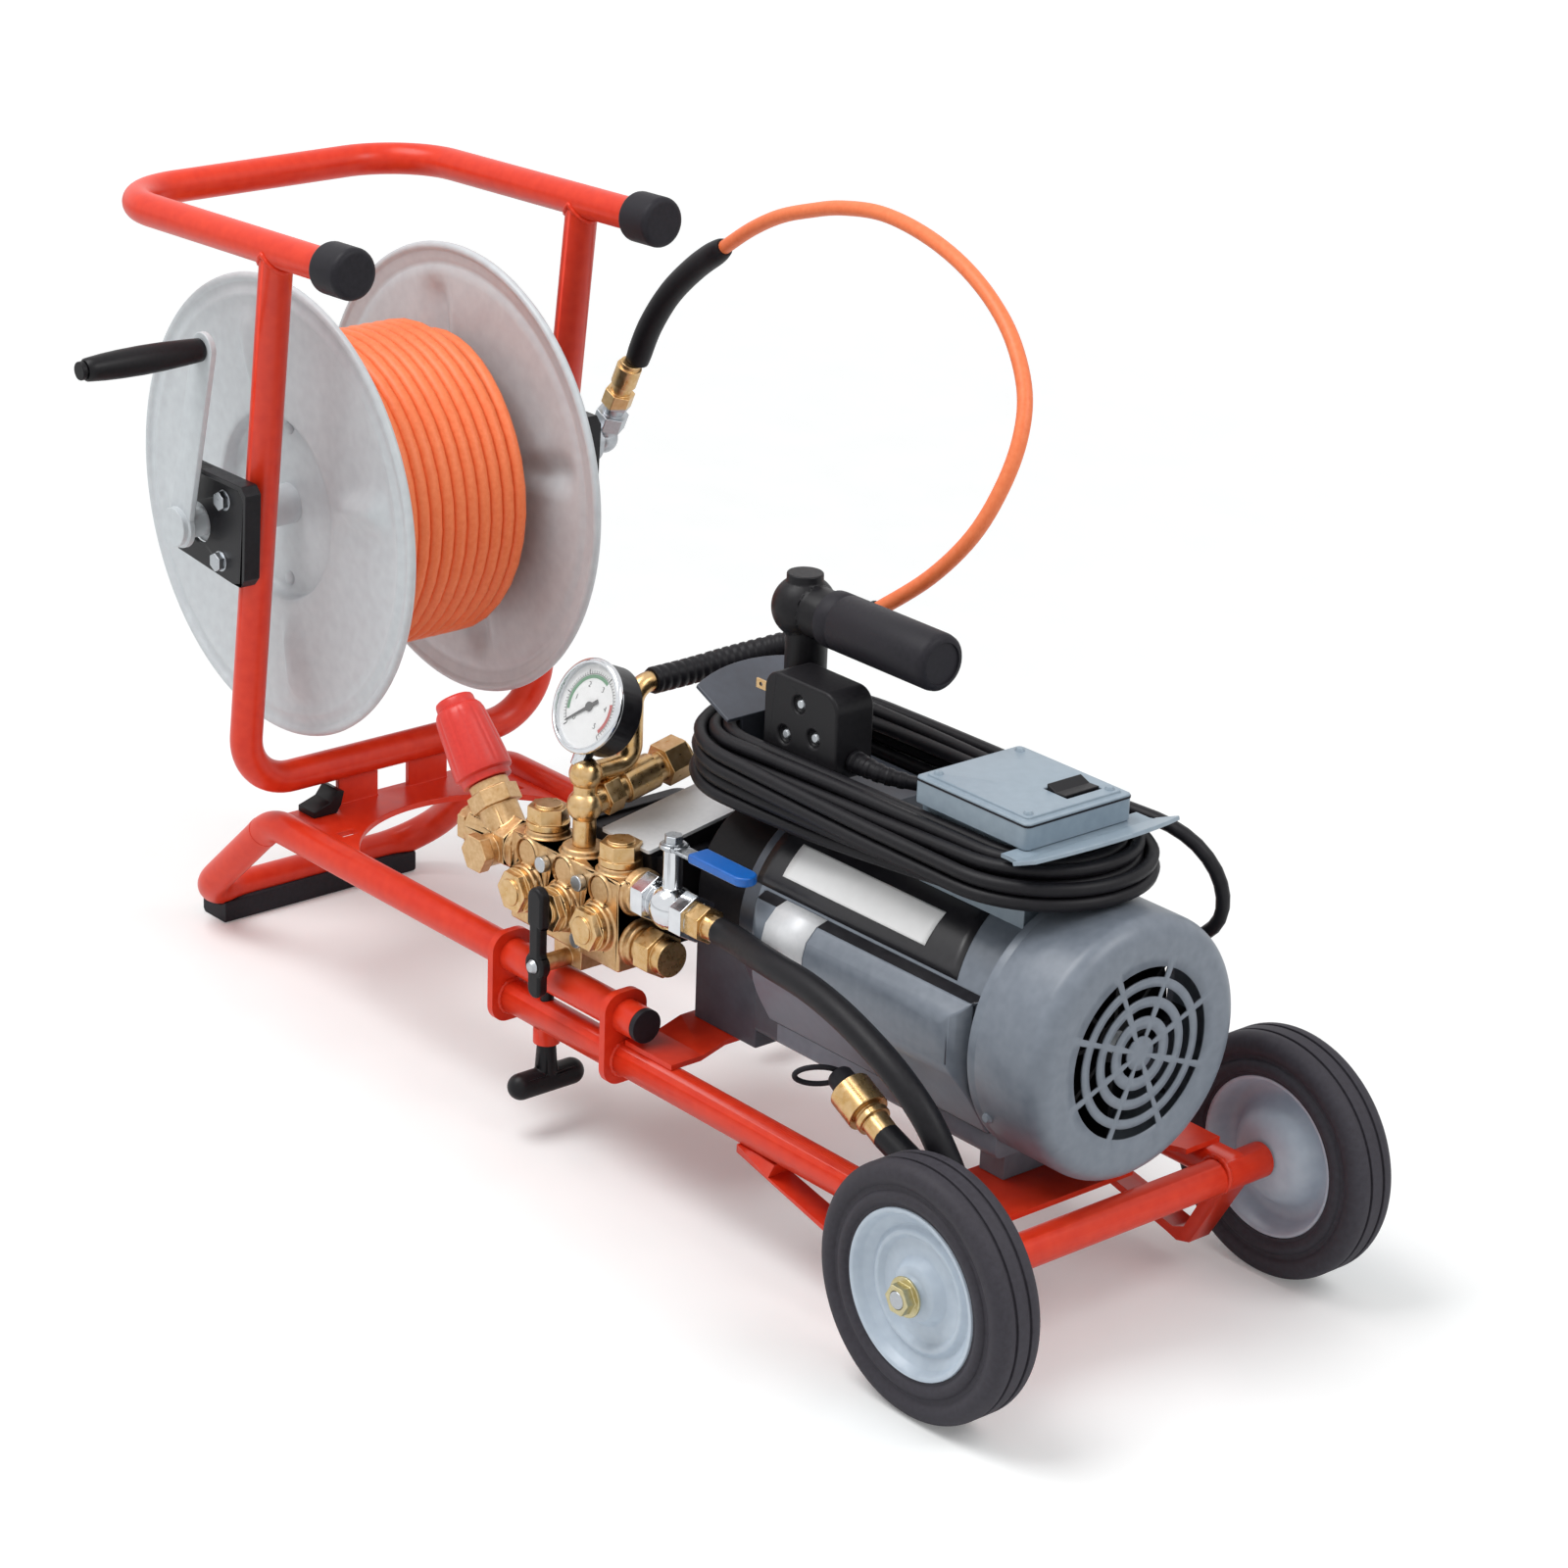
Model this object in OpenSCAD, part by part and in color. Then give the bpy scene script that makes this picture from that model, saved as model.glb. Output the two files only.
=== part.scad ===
// Electric water jetter: a high pressure washer on a two-wheeled cart with a hose reel.
// The origin is the centre of the front foot's ground face. +X runs to the wheels,
// +Y away from the crank side and +Z up. All sizes are in millimetres.

/* [Cart frame] */
// Distance from the front foot to the wheel axle
wheelbase = 936; // [900:2:980]
// Outside diameter of the frame tube
tube_d = 25.4; // [24:0.2:28]
// Wall of the frame tube
tube_wall = 2; // [1.5:0.1:3]
// Centre distance between the near and far rails
rail_gauge = 225; // [215:1:235]
// Height of the lower rails' centre line
low_rail_z = 92; // [91:0.5:96]
// Height of the upper rails above the lower rails
rail_rise = 33; // [32:0.5:40]
// Distance from the foot to the middle of the tube clamps
clamp_x = 487; // [475:1:500]
// Distance between the two clamp plates of one side
clamp_pitch = 132; // [120:1:140]
// Thickness of the clamp plates
clamp_t = 6; // [4:0.5:8]
// Width of the clamp plates
clamp_w = 38; // [34:1:42]
// How far the upper tubes run past the rear clamp plate
tube_tail = 22; // [15:1:40]
// Bend radius of the frame tubes at the centre line
bend_r = 45; // [40:1:50]
// Thickness of the saddle plates under the pump and motor
saddle_t = 4; // [3:0.5:6]

/* [Front foot and plate] */
// Where the upper rails turn down, from the foot
drop_x = 112; // [100:1:125]
// Height of the foot bar's centre line
foot_z = 22; // [20:0.5:28]
// Length of the rubber foot
foot_len = 190; // [160:1:200]
// Width of the rubber foot
foot_w = 34; // [30:1:40]
// Length of the front plate along the rails
plate_len = 112; // [100:1:118]
// Thickness of the front plate
plate_t = 5; // [3:0.5:6]

/* [Wheels] */
// Diameter of the tyres
tyre_d = 177.8; // [170:0.2:184]
// Width of the tyres
tyre_w = 38; // [32:1:42]
// Diameter of the rims where the tyre sits
rim_d = 117; // [108:1:122]
// Distance between the outer faces of the tyres
track_out = 368; // [360:1:380]
// Diameter of the axle rod
axle_d = 12.7; // [12:0.1:14]

/* [Hose reel] */
// Distance from the foot to the reel's axle
reel_x = 82; // [74:1:90]
// Height of the reel's axle
reel_z = 373; // [368:1:380]
// Diameter of the reel's flanges
flange_d = 363; // [340:1:368]
// Distance between the middles of the two flanges
flange_gap = 174.6; // [160:0.2:190]
// Diameter of the wound hose
pack_d = 252; // [230:1:270]
// Diameter of the drum under the hose
drum_d = 160; // [130:1:160]
// Diameter of the jetting hose
hose_d = 11.4; // [10:0.2:12]
// Diameter of the reel's axle
reel_axle_d = 22; // [18:1:26]
// Length of the crank arm between its centres
crank_len = 151; // [120:1:160]
// Lean of the crank arm to the rear, in degrees
crank_lean = 13.5; // [0:0.5:20]
// Length of the crank's grip
grip_len = 100; // [80:1:110]
// Diameter of the crank's grip at its middle
grip_d = 22; // [20:1:26]

/* [Reel frame] */
// Width between the centre lines of the reel frame's uprights
upright_gauge = 282.8; // [278:0.4:296]
// Distance from the foot to the bottom bar of the reel frame
upright_x = 114; // [108:1:120]
// Height of the bottom bar of the reel frame
upright_z = 162; // [158:1:163]
// Height of the handle where the uprights meet it
handle_z = 601; // [590:1:620]
// Rearward lean of the uprights over their height
upright_lean = 52; // [45:1:58]
// How far the handle bar stands forward of the foot
handle_front = 64; // [50:1:80]
// Distance from the foot to the open ends of the handle
handle_tail = 266; // [250:1:280]
// Diameter of the rubber caps on the handle
cap_d = 39; // [34:1:44]
// Length of the rubber caps on the handle
cap_len = 34; // [28:1:44]

/* [Motor] */
// Height of the motor's shaft
shaft_z = 215; // [212:0.5:219]
// Radius of the motor's shell
shell_r = 80; // [77:0.5:82]
// Wall of the motor's shell
shell_wall = 3; // [2:0.5:4]
// Distance from the foot to the motor's drive end
motor_x = 637; // [630:1:645]
// Length of the motor's shell
shell_len = 248; // [240:1:256]
// Radius of the fan cover
cover_r = 93.4; // [88:0.2:96]
// Length of the fan cover
cover_len = 66; // [58:1:70]
// Wall of the fan cover
cover_wall = 2.5; // [2:0.5:4]
// Diameter of the motor's shaft
shaft_d = 16; // [14:0.5:20]
// Half width of the motor's base
base_half_w = 62; // [58:1:66]
// Height of the motor's base above the ground
base_z = 128; // [126:0.5:130]

/* [Pump] */
// Distance from the foot to the front of the crankcase
crankcase_x = 452; // [446:1:458]
// Length of the crankcase along the shaft
crankcase_len = 103; // [98:1:108]
// Height of the crankcase's top
crankcase_top = 240; // [236:1:244]
// Length of the brass manifold
manifold_len = 126; // [120:1:136]
// Depth of the brass manifold
manifold_depth = 36; // [32:1:40]
// Diameter of the pressure gauge
gauge_d = 70; // [60:1:72]
// Depth of the pressure gauge
gauge_depth = 28; // [24:1:34]
// Upward tilt of the gauge's face, in degrees
gauge_tilt = 24; // [10:1:35]
// Diameter of the red pressure knob
knob_d = 44; // [38:1:46]
// Length of the red pressure knob
knob_len = 68; // [60:1:74]

/* [Cords and hoses] */
// Diameter of the power cord
cord_d = 10; // [8:0.5:11]
// Diameter of the water inlet hose
inlet_d = 20; // [18:0.5:22]

/* [Hidden] */
$fn = 48;

// Colours
frame_red = "#DC3C26";
knob_red = "#D6322C";
hose_orange = "#E8703C";
motor_grey = "#76808A";
black = "#2A282C";
brass = "#C8A05A";
steel = "#B9BDC2";
flange_grey = "#BDBEC0";

// Clearances
slide_fit = 0.08;
weld_fit = 0.05;
seat = 0.3;
run_fit = 0.04;
far_cut = 1000;

// Places worked out from the driving sizes
tube_r = tube_d / 2;
tube_bore = tube_d - 2 * tube_wall;
rail_y = rail_gauge / 2;
high_rail_z = low_rail_z + rail_rise;
axle_z = tyre_d / 2;
tyre_y = track_out / 2 - tyre_w / 2;
wheel_in = track_out / 2 - tyre_w;
axle_tube_half = wheel_in - 2;
plate_fore_x = clamp_x - clamp_pitch / 2;
plate_aft_x = clamp_x + clamp_pitch / 2;
tube_end_x = plate_aft_x + tube_tail;
rail_top = low_rail_z + tube_r;
upright_y = upright_gauge / 2;
upright_top_x = upright_x + upright_lean;
handle_slope = 0.035;
cover_x = motor_x + shell_len;
cover_end = cover_x + cover_len;
adapter_x = crankcase_x + crankcase_len;
manifold_x = crankcase_x - 28;
manifold_top = 225;
manifold_bottom = 156;
manifold_y = -80;
manifold_front = manifold_y - manifold_depth;

// ---------------------------------------------------------------- helpers

function unit(v) = v / norm(v);
function turn_at(a, b, c) = acos(max(-1, min(1, unit(b - a) * unit(c - b))));
function setback(a, b, c, r) = r * tan(turn_at(a, b, c) / 2);
function side_of(d1, d2) = unit(d2 - (d2 * d1) * d1);

// A round bar from p to q
module bar(p, q, d) {
    v = q - p;
    translate(p)
        rotate([0, acos(v.z / norm(v)), atan2(v.y, v.x)])
            cylinder(h = norm(v), d = d);
}

// The bend of a round bar at b, coming from a and leaving to c
module bend(a, b, c, r, d) {
    d1 = unit(b - a);
    u = side_of(d1, unit(c - b));
    start = b - d1 * setback(a, b, c, r);
    centre = start + u * r;
    n = cross(-u, d1);
    multmatrix([
        [-u.x, d1.x, n.x, centre.x],
        [-u.y, d1.y, n.y, centre.y],
        [-u.z, d1.z, n.z, centre.z],
        [0, 0, 0, 1]
    ])
        rotate_extrude(angle = turn_at(a, b, c))
            translate([r, 0])
                circle(d = d);
}

// A bar of round section bent at each inner point of the list
module bent_bar(pts, r, d) {
    n = len(pts);
    for (i = [0 : n - 2]) {
        a = pts[i];
        b = pts[i + 1];
        along = unit(b - a);
        cut_a = i == 0 ? 0 : setback(pts[i - 1], a, b, r);
        cut_b = i == n - 2 ? 0 : setback(a, b, pts[i + 2], r);
        bar(a + along * cut_a, b - along * cut_b, d);
        if (i < n - 2)
            bend(a, b, pts[i + 2], r, d);
    }
}

// A flat U of round bar: a cross bar along Y and two legs along X
module flat_u(leg, width, r, d) {
    for (s = [-1, 1]) {
        along_x([r, s * width / 2, 0], leg - r, d);
        translate([r, s * (width / 2 - r), 0])
            rotate([0, 0, s > 0 ? 90 : 180])
                rotate_extrude(angle = 90)
                    translate([r, 0])
                        circle(d = d);
    }
    along_y([0, r - width / 2, 0], width - 2 * r, d);
}

// A cylinder along X, Y or Z from a start point
module along_x(p, h, d) translate(p) rotate([0, 90, 0]) cylinder(h = h, d = d);
module along_y(p, h, d) translate(p) rotate([-90, 0, 0]) cylinder(h = h, d = d);

// A hexagon head or nut along Z, measured across its flats
module hex_z(h, flats) cylinder(h = h, d = flats / cos(30), $fn = 6);

// A 2D box with one rounded outer corner, for turned cups
module cup_section(r, h, corner) {
    square([r - corner, h]);
    square([r, h - corner]);
    translate([r - corner, h - corner])
        circle(corner);
}

// A 2D box with rounded corners, centred
module rounded_box(w, h, r) {
    square([w - 2 * r, h], center = true);
    square([w, h - 2 * r], center = true);
    for (x = [-1, 1], y = [-1, 1])
        translate([x * (w / 2 - r), y * (h / 2 - r)])
            circle(r);
}

// A copy on each side of the middle plane
module both_sides() {
    children();
    mirror([0, 1, 0])
        children();
}

// Rings of a tube swept along a route, turned so that they never twist
function ring_frame(prev_u, t) = unit(prev_u - (prev_u * t) * t);
function tangent(p, i) =
    i == 0 ? unit(p[1] - p[0]) :
    i == len(p) - 1 ? unit(p[i] - p[i - 1]) : unit(p[i + 1] - p[i - 1]);
function ring_dirs(p, i = 0, u = [0, 0, 0], acc = []) =
    i == len(p) ? acc :
    let (
        t = tangent(p, i),
        first = abs(t.z) < 0.8 ? [0, 0, 1] : [1, 0, 0],
        now = ring_frame(i == 0 ? first : u, t)
    )
    ring_dirs(p, i + 1, now, concat(acc, [now]));

// A soft tube of given diameter through a route's points
module swept_tube(route, d, sides = 8) {
    dirs = ring_dirs(route);
    n = len(route);
    ring_points = [
        for (i = [0 : n - 1], k = [0 : sides - 1])
            let (
                t = tangent(route, i),
                u = dirs[i],
                v = cross(t, u),
                a = 360 * k / sides
            )
            route[i] + d / 2 * (cos(a) * u + sin(a) * v)
    ];
    walls = [
        for (i = [0 : n - 2], k = [0 : sides - 1])
            let (j = (k + 1) % sides)
            [i * sides + k, (i + 1) * sides + k, (i + 1) * sides + j, i * sides + j]
    ];
    first_cap = [for (k = [0 : sides - 1]) k];
    last_cap = [for (k = [sides - 1 : -1 : 0]) (n - 1) * sides + k];
    polyhedron(ring_points, concat(walls, [first_cap], [last_cap]), convexity = 6);
}

// Points of a smooth curve through the route's own points
function smooth_point(a, b, c, d, t) =
    0.5 * ((2 * b) + (c - a) * t + (2 * a - 5 * b + 4 * c - d) * t * t
        + (3 * b - a - 3 * c + d) * t * t * t);
function smooth_route(p, steps) = [
    for (i = [0 : len(p) - 2], s = [0 : steps - 1])
        smooth_point(p[max(i - 1, 0)], p[i], p[i + 1], p[min(i + 2, len(p) - 1)], s / steps),
    p[len(p) - 1]
];

// ---------------------------------------------------------------- cart frame

skid_w = 20;
skid_t = 6;
skid_x = wheelbase - 243;
skid_low_z = 28;
nut_h = 9;
knob_x = clamp_x - 22;

// Side view of the skid bar that runs under each rail to the axle
module skid_section() {
    low_x = wheelbase - 34;
    root_z = low_rail_z - tube_r;
    polygon([
        [skid_x, root_z + 2],
        [skid_x + 40, root_z + 2],
        [skid_x + 34, root_z - skid_t - 4],
        [low_x - 4, skid_low_z + skid_t],
        [low_x + 6, skid_low_z + skid_t + 4],
        [wheelbase - 6, axle_z - tube_r + 4],
        [wheelbase + 8, axle_z - tube_r + 4],
        [low_x + 12, skid_low_z],
        [low_x, skid_low_z - 3],
        [low_x - 10, skid_low_z],
        [skid_x, root_z - 4]
    ]);
}

// The two lower rails, the axle tube and the skids, welded together
module base_frame() {
    rail_end = wheelbase + 6;
    color(frame_red)
    difference() {
        union() {
            both_sides() {
                along_x([plate_fore_x - clamp_t / 2, -rail_y, low_rail_z],
                    rail_end - plate_fore_x + clamp_t / 2, tube_d);
                translate([0, -rail_y + skid_w / 2, 0])
                    rotate([90, 0, 0])
                        linear_extrude(skid_w)
                            skid_section();
                translate([knob_x, -rail_y, low_rail_z - tube_r - nut_h])
                    cylinder(h = nut_h + 4, d = 20);
            }
            along_y([wheelbase, -axle_tube_half, axle_z], 2 * axle_tube_half, tube_d);
        }
        both_sides() {
            along_x([plate_fore_x - clamp_t, -rail_y, low_rail_z],
                rail_end - tube_d - plate_fore_x, tube_bore);
            translate([knob_x, -rail_y, low_rail_z - tube_r - nut_h - 1])
                cylinder(h = far_cut, d = 10.4);
        }
        along_y([wheelbase, -axle_tube_half - 1, axle_z], 2 * axle_tube_half + 2,
            axle_d + 2 * weld_fit);
    }
}

// One clamp plate: a rounded plate with a hole for each tube
module clamp_plate(x) {
    height = rail_rise + clamp_w;
    translate([x - clamp_t / 2, -rail_y, low_rail_z + rail_rise / 2])
        rotate([90, 0, 90])
            linear_extrude(clamp_t)
                difference() {
                    rounded_box(clamp_w, height, 14);
                    translate([0, -rail_rise / 2])
                        circle(d = tube_d + 2 * weld_fit);
                    translate([0, rail_rise / 2])
                        circle(d = tube_d + 2 * slide_fit);
                }
}

// Outline of a saddle across the rails, seen along X
module saddle_section(top_z, top_half) {
    ramp = (top_z - rail_top - saddle_t) * 1.2 + 14;
    polygon([
        [-rail_y - 4, rail_top], [-rail_y - 4, rail_top + saddle_t],
        [-top_half - ramp, rail_top + saddle_t], [-top_half, top_z],
        [top_half, top_z], [top_half + ramp, rail_top + saddle_t],
        [rail_y + 4, rail_top + saddle_t], [rail_y + 4, rail_top],
        [top_half + ramp + 2, rail_top], [top_half + 1.5, top_z - saddle_t],
        [-top_half - 1.5, top_z - saddle_t], [-top_half - ramp - 2, rail_top]
    ]);
}

pump_saddle_x = adapter_x + 6;
pump_saddle_len = 52;
pump_saddle_z = 115;
motor_saddle_len = 67;
motor_saddle_x = cover_x - 30;

// Plates welded to the lower rails: four clamp plates and the two saddles
module frame_plates() {
    color(frame_red) {
        both_sides() {
            clamp_plate(plate_fore_x);
            clamp_plate(plate_aft_x);
        }
        translate([pump_saddle_x, 0, 0])
            rotate([90, 0, 90])
                linear_extrude(pump_saddle_len)
                    saddle_section(pump_saddle_z, 66);
        difference() {
            translate([motor_saddle_x, -rail_y - 4, rail_top])
                cube([motor_saddle_len, rail_gauge + 8, saddle_t]);
            translate([motor_saddle_x + motor_saddle_len + 4, 58, 0])
                cylinder(h = far_cut, r = 26);
        }
    }
}

module axle_rod() {
    half = track_out / 2 + 10;
    color(steel)
        along_y([wheelbase, -half, axle_z], 2 * half, axle_d);
}

module axle_nuts() {
    color(steel)
        both_sides()
            translate([wheelbase, -track_out / 2 - 0.5, axle_z])
                rotate([90, 0, 0])
                    difference() {
                        union() {
                            cylinder(h = 2, d = 28);
                            hex_z(9, 19);
                        }
                        translate([0, 0, -1])
                            cylinder(h = 20, d = axle_d + 2 * weld_fit);
                    }
}

// ---------------------------------------------------------------- wheels

// Half section of a tyre, seated on the rim
module tyre_section() {
    shoulder = 9;
    bead = 5;
    difference() {
        union() {
            translate([rim_d / 2, -tyre_w / 2 + 3])
                square([tyre_d / 2 - rim_d / 2 - shoulder, tyre_w - 6]);
            translate([rim_d / 2, -tyre_w / 2 + shoulder])
                square([tyre_d / 2 - rim_d / 2, tyre_w - 2 * shoulder]);
            for (s = [-1, 1]) {
                translate([tyre_d / 2 - shoulder, s * (tyre_w / 2 - shoulder)])
                    circle(shoulder);
                translate([rim_d / 2 + bead + 2, s * (tyre_w / 2 - bead)])
                    circle(bead);
            }
        }
        for (s = [-1, 1])
            translate([tyre_d / 2, s * 6])
                square([4, 2.4], center = true);
    }
}

module tyre(side) {
    color(black)
        translate([wheelbase, side * tyre_y, axle_z])
            rotate([90, 0, 0])
                rotate_extrude($fn = 96)
                    tyre_section();
}
module tyre_near() tyre(-1);
module tyre_far() tyre(1);

// Half section of a pressed steel rim with its hub; the outer face is at positive height
module rim_section() {
    r = rim_d / 2 - weld_fit;
    bore = axle_d / 2 + run_fit;
    polygon([
        [bore, -tyre_w / 2 + 0.2], [13, -tyre_w / 2 + 0.2], [15, -tyre_w / 2 + 4],
        [26, -tyre_w / 2 + 7], [r - 12, -tyre_w / 2 + 9], [r - 2, -tyre_w / 2 + 4],
        [r, -tyre_w / 2 + 4], [r, tyre_w / 2 - 2], [r - 3, tyre_w / 2 - 2],
        [r - 6, tyre_w / 2 - 8], [r - 14, tyre_w / 2 - 12], [r - 17, tyre_w / 2 - 9],
        [r - 20, tyre_w / 2 - 9], [r - 23, tyre_w / 2 - 13], [24, tyre_w / 2 - 13],
        [19, tyre_w / 2 - 6], [13, tyre_w / 2 - 4], [11, tyre_w / 2], [bore, tyre_w / 2]
    ]);
}

module rim(side) {
    color("#B4C0CC")
        translate([wheelbase, side * tyre_y, axle_z])
            rotate([side < 0 ? 90 : -90, 0, 0])
                rotate_extrude($fn = 96)
                    rim_section();
}
module rim_near() rim(-1);
module rim_far() rim(1);

// ---------------------------------------------------------------- clamp screws

// T screw turned up through the lower rail against the sliding tube
module clamp_knob(side) {
    bar_z = 40;
    bar_len = 66;
    bar_d = 20;
    tip = high_rail_z - tube_r - seat;
    color(black)
        translate([knob_x, side * rail_y, 0]) {
            translate([0, 0, bar_z])
                cylinder(h = tip - bar_z, d = 10);
            translate([0, 0, bar_z])
                cylinder(h = low_rail_z - tube_r - nut_h - seat - bar_z, d1 = 18, d2 = 14);
            along_y([0, -bar_len / 2 + bar_d / 2, bar_z], bar_len - bar_d, bar_d);
            for (s = [-1, 1])
                translate([0, s * (bar_len - bar_d) / 2, bar_z])
                    sphere(d = bar_d);
        }
}
module clamp_knob_near() clamp_knob(-1);
module clamp_knob_far() clamp_knob(1);

// ---------------------------------------------------------------- front section

drop_angle = atan2(high_rail_z - foot_z, drop_x);
drop_leg = norm([drop_x, high_rail_z - foot_z]) - bend_r * tan(drop_angle / 2);
collar_len = 4;
bend_x = drop_x + bend_r * tan(drop_angle / 2);

// Course of the front tube: foot bar, two sloping legs and the upper rails
module front_course(d) {
    translate([0, 0, foot_z])
        rotate([0, -drop_angle, 0]) {
            flat_u(drop_leg - 1, rail_gauge, bend_r, d);
            for (s = [-1, 1])
                along_x([drop_leg - collar_len, s * rail_y, 0], collar_len + 0.5, d + 0.6);
        }
    for (s = [-1, 1]) {
        along_x([bend_x, s * rail_y, high_rail_z], tube_end_x - bend_x, d);
        translate([bend_x, s * rail_y, high_rail_z - bend_r])
            rotate([90, 0, 0])
                rotate([0, 0, 90])
                    rotate_extrude(angle = drop_angle)
                        translate([bend_r, 0])
                            circle(d = d);
    }
}

module front_tube() {
    color(frame_red)
        difference() {
            front_course(tube_d);
            for (s = [-1, 1])
                along_x([clamp_x, s * rail_y, high_rail_z], far_cut, tube_bore);
        }
}

// Plate between the upper rails, hollowed at the rear and slotted
module front_plate_outline() {
    half = rail_y - tube_r + 0.5;
    dip = plate_len * 0.62;
    arc_r = (half * half + dip * dip) / (2 * dip);
    difference() {
        translate([0, -half])
            square([plate_len, 2 * half]);
        translate([plate_len - dip + arc_r, 0])
            circle(r = arc_r);
        for (s = [-1, 1])
            translate([plate_len * 0.55, s * (half - 20)])
                square([9, 16], center = true);
    }
}

web_y = 34;
web_w = 38;

module front_plate() {
    fore = upright_x - 8;
    top = high_rail_z + plate_t / 2;
    color(frame_red)
        difference() {
            union() {
                translate([fore, 0, top - plate_t])
                    linear_extrude(plate_t)
                        front_plate_outline();
                translate([fore, -rail_y + tube_r + 6, top - 16])
                    cube([4, 2 * (rail_y - tube_r - 6), 16]);
                for (s = [-1, 1])
                    translate([upright_x - 2.5, s * web_y - web_w / 2, top - 1])
                        cube([5, web_w, upright_z - tube_r + 2 - top]);
            }
            front_course(tube_d + 2 * weld_fit);
            along_y([upright_x, -rail_y, upright_z], rail_gauge, tube_d + 2 * weld_fit);
        }
}

// Rubber strip that the cart stands on, grooved for the foot bar
module foot_pad() {
    height = foot_z - 2;
    color(black)
        difference() {
            translate([0, foot_len / 2, height / 2])
                rotate([90, 0, 0])
                    linear_extrude(foot_len)
                        rounded_box(foot_w, height, 4);
            front_course(tube_d + 2 * weld_fit);
        }
}

// Black plugs in the upper tubes and rubber caps on the handle's ends
module end_caps() {
    plug = 5;
    color(black)
        both_sides() {
            along_x([tube_end_x + weld_fit, -rail_y, high_rail_z], plug, tube_d);
            along_x([tube_end_x - 14, -rail_y, high_rail_z], 14 + plug, tube_bore - 2 * weld_fit);
            difference() {
                translate([-handle_front, 0, handle_fore_z])
                    rotate([0, -handle_angle, 0])
                        translate([handle_leg + 6 - cap_len, -upright_y, 0])
                            rotate([0, 90, 0])
                                rotate_extrude() {
                            square([cap_d / 2 - 5, cap_len]);
                            translate([0, 5])
                                square([cap_d / 2, cap_len - 10]);
                            for (z = [5, cap_len - 5])
                                translate([cap_d / 2 - 5, z])
                                    circle(5);
                        }
                handle_course(tube_d + 2 * weld_fit);
            }
        }
}

// ---------------------------------------------------------------- reel frame

handle_bend = 62;
handle_fore_z = handle_z - handle_slope * (upright_top_x + handle_front);
handle_angle = atan(handle_slope);
handle_leg = handle_front + handle_tail - 6;
upright_rise = handle_z - 2 - upright_z;

// Course of the push handle: a U open to the rear, rising slightly
module handle_course(d) {
    translate([-handle_front, 0, handle_fore_z])
        rotate([0, -handle_angle, 0])
            flat_u(handle_leg, upright_gauge, handle_bend, d);
}

// The bent reel frame and its push handle, welded into one
module reel_frame() {
    color(frame_red) {
        translate([upright_x, 0, upright_z])
            rotate([0, -atan2(upright_rise, upright_lean), 0])
                flat_u(norm([upright_rise, upright_lean]), upright_gauge, bend_r, tube_d);
        handle_course(tube_d);
    }
}

bracket_t = 4;
bracket_y = upright_y + tube_r + weld_fit;
flange_out = 10;
journal_r = 16;
bolt_at = [[36, 27], [30, -23]];

// Outline of the reel's bearing plate, measured from the reel's axle
module bracket_outline() {
    polygon([
        [-10, 49], [74, 49], [80, 43], [77, -24], [71, -31], [46, -37], [-29, -29],
        [-17, journal_r - 2], [-17, 20]
    ]);
}

// Reel bearing plate: notched for the axle and folded outward round its edge
module reel_bracket() {
    translate([reel_x, -bracket_y, reel_z])
        rotate([90, 0, 0])
            difference() {
                union() {
                    linear_extrude(bracket_t)
                        bracket_outline();
                    translate([0, 0, bracket_t - 0.5])
                        linear_extrude(flange_out + 0.5)
                            difference() {
                                bracket_outline();
                                translate([-4, -4])
                                    bracket_outline();
                                translate([-10, -60])
                                    square([80, 105]);
                                translate([-40, -60])
                                    square([60, 160]);
                            }
                }
                translate([0, 0, -1])
                    cylinder(h = far_cut, r = journal_r + run_fit);
                translate([-80, -journal_r + 2, -1])
                    cube([80, 2 * journal_r - 4, far_cut]);
            }
}

module reel_brackets() {
    color(black)
        both_sides()
            union() {
                reel_bracket();
                for (p = bolt_at)
                    along_y([reel_x + p.x, -bracket_y - bracket_t - 3.5, reel_z + p.y], 4, 11);
            }
}

// Spring latch behind the front plate that holds the reel frame on the cart
module reel_latch() {
    color(black)
        translate([upright_x - 6, -76, high_rail_z + plate_t / 2 + seat])
            rotate([90, 0, 90])
                linear_extrude(22)
                    polygon([[-10, 0], [12, 0], [16, 6], [19, 17], [13, 19], [6, 10], [-10, 5]]);
}

// Swivel joint on the far end of the reel's axle, with its hose elbow
swivel_y = bracket_y + bracket_t + flange_out + 2;
swivel_len = 52;
feed_lean = 65;
module swivel() {
    elbow_y = swivel_y + swivel_len + 12;
    feed = [cos(feed_lean), 0, sin(feed_lean)];
    centre = [reel_x, elbow_y, reel_z];
    color(brass) {
        difference() {
            union() {
                along_y([reel_x, swivel_y, reel_z], swivel_len, 34);
                translate([reel_x, swivel_y + 6, reel_z])
                    rotate([-90, 0, 0])
                        hex_z(12, 36);
            }
            along_y([reel_x, swivel_y - 1, reel_z], swivel_len - 12, reel_axle_d + 2 * run_fit);
        }
        along_y([reel_x, swivel_y + swivel_len - 1, reel_z], 14, 20);
        translate(centre)
            sphere(d = 24);
        bar(centre, centre + feed * 80, 17);
        translate(centre + feed * 14)
            rotate([0, 90 - feed_lean, 0])
                hex_z(14, 24);
        translate(centre + feed * 36)
            rotate([0, 90 - feed_lean, 0])
                hex_z(14, 22);
        translate(centre + feed * 58)
            rotate([0, 90 - feed_lean, 0])
                cylinder(h = 18, d = 21);
    }
}

// ---------------------------------------------------------------- reel

flange_y = flange_gap / 2;
flange_t = 3;
rim_bead = 7;
hub_r = 46;

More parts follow.
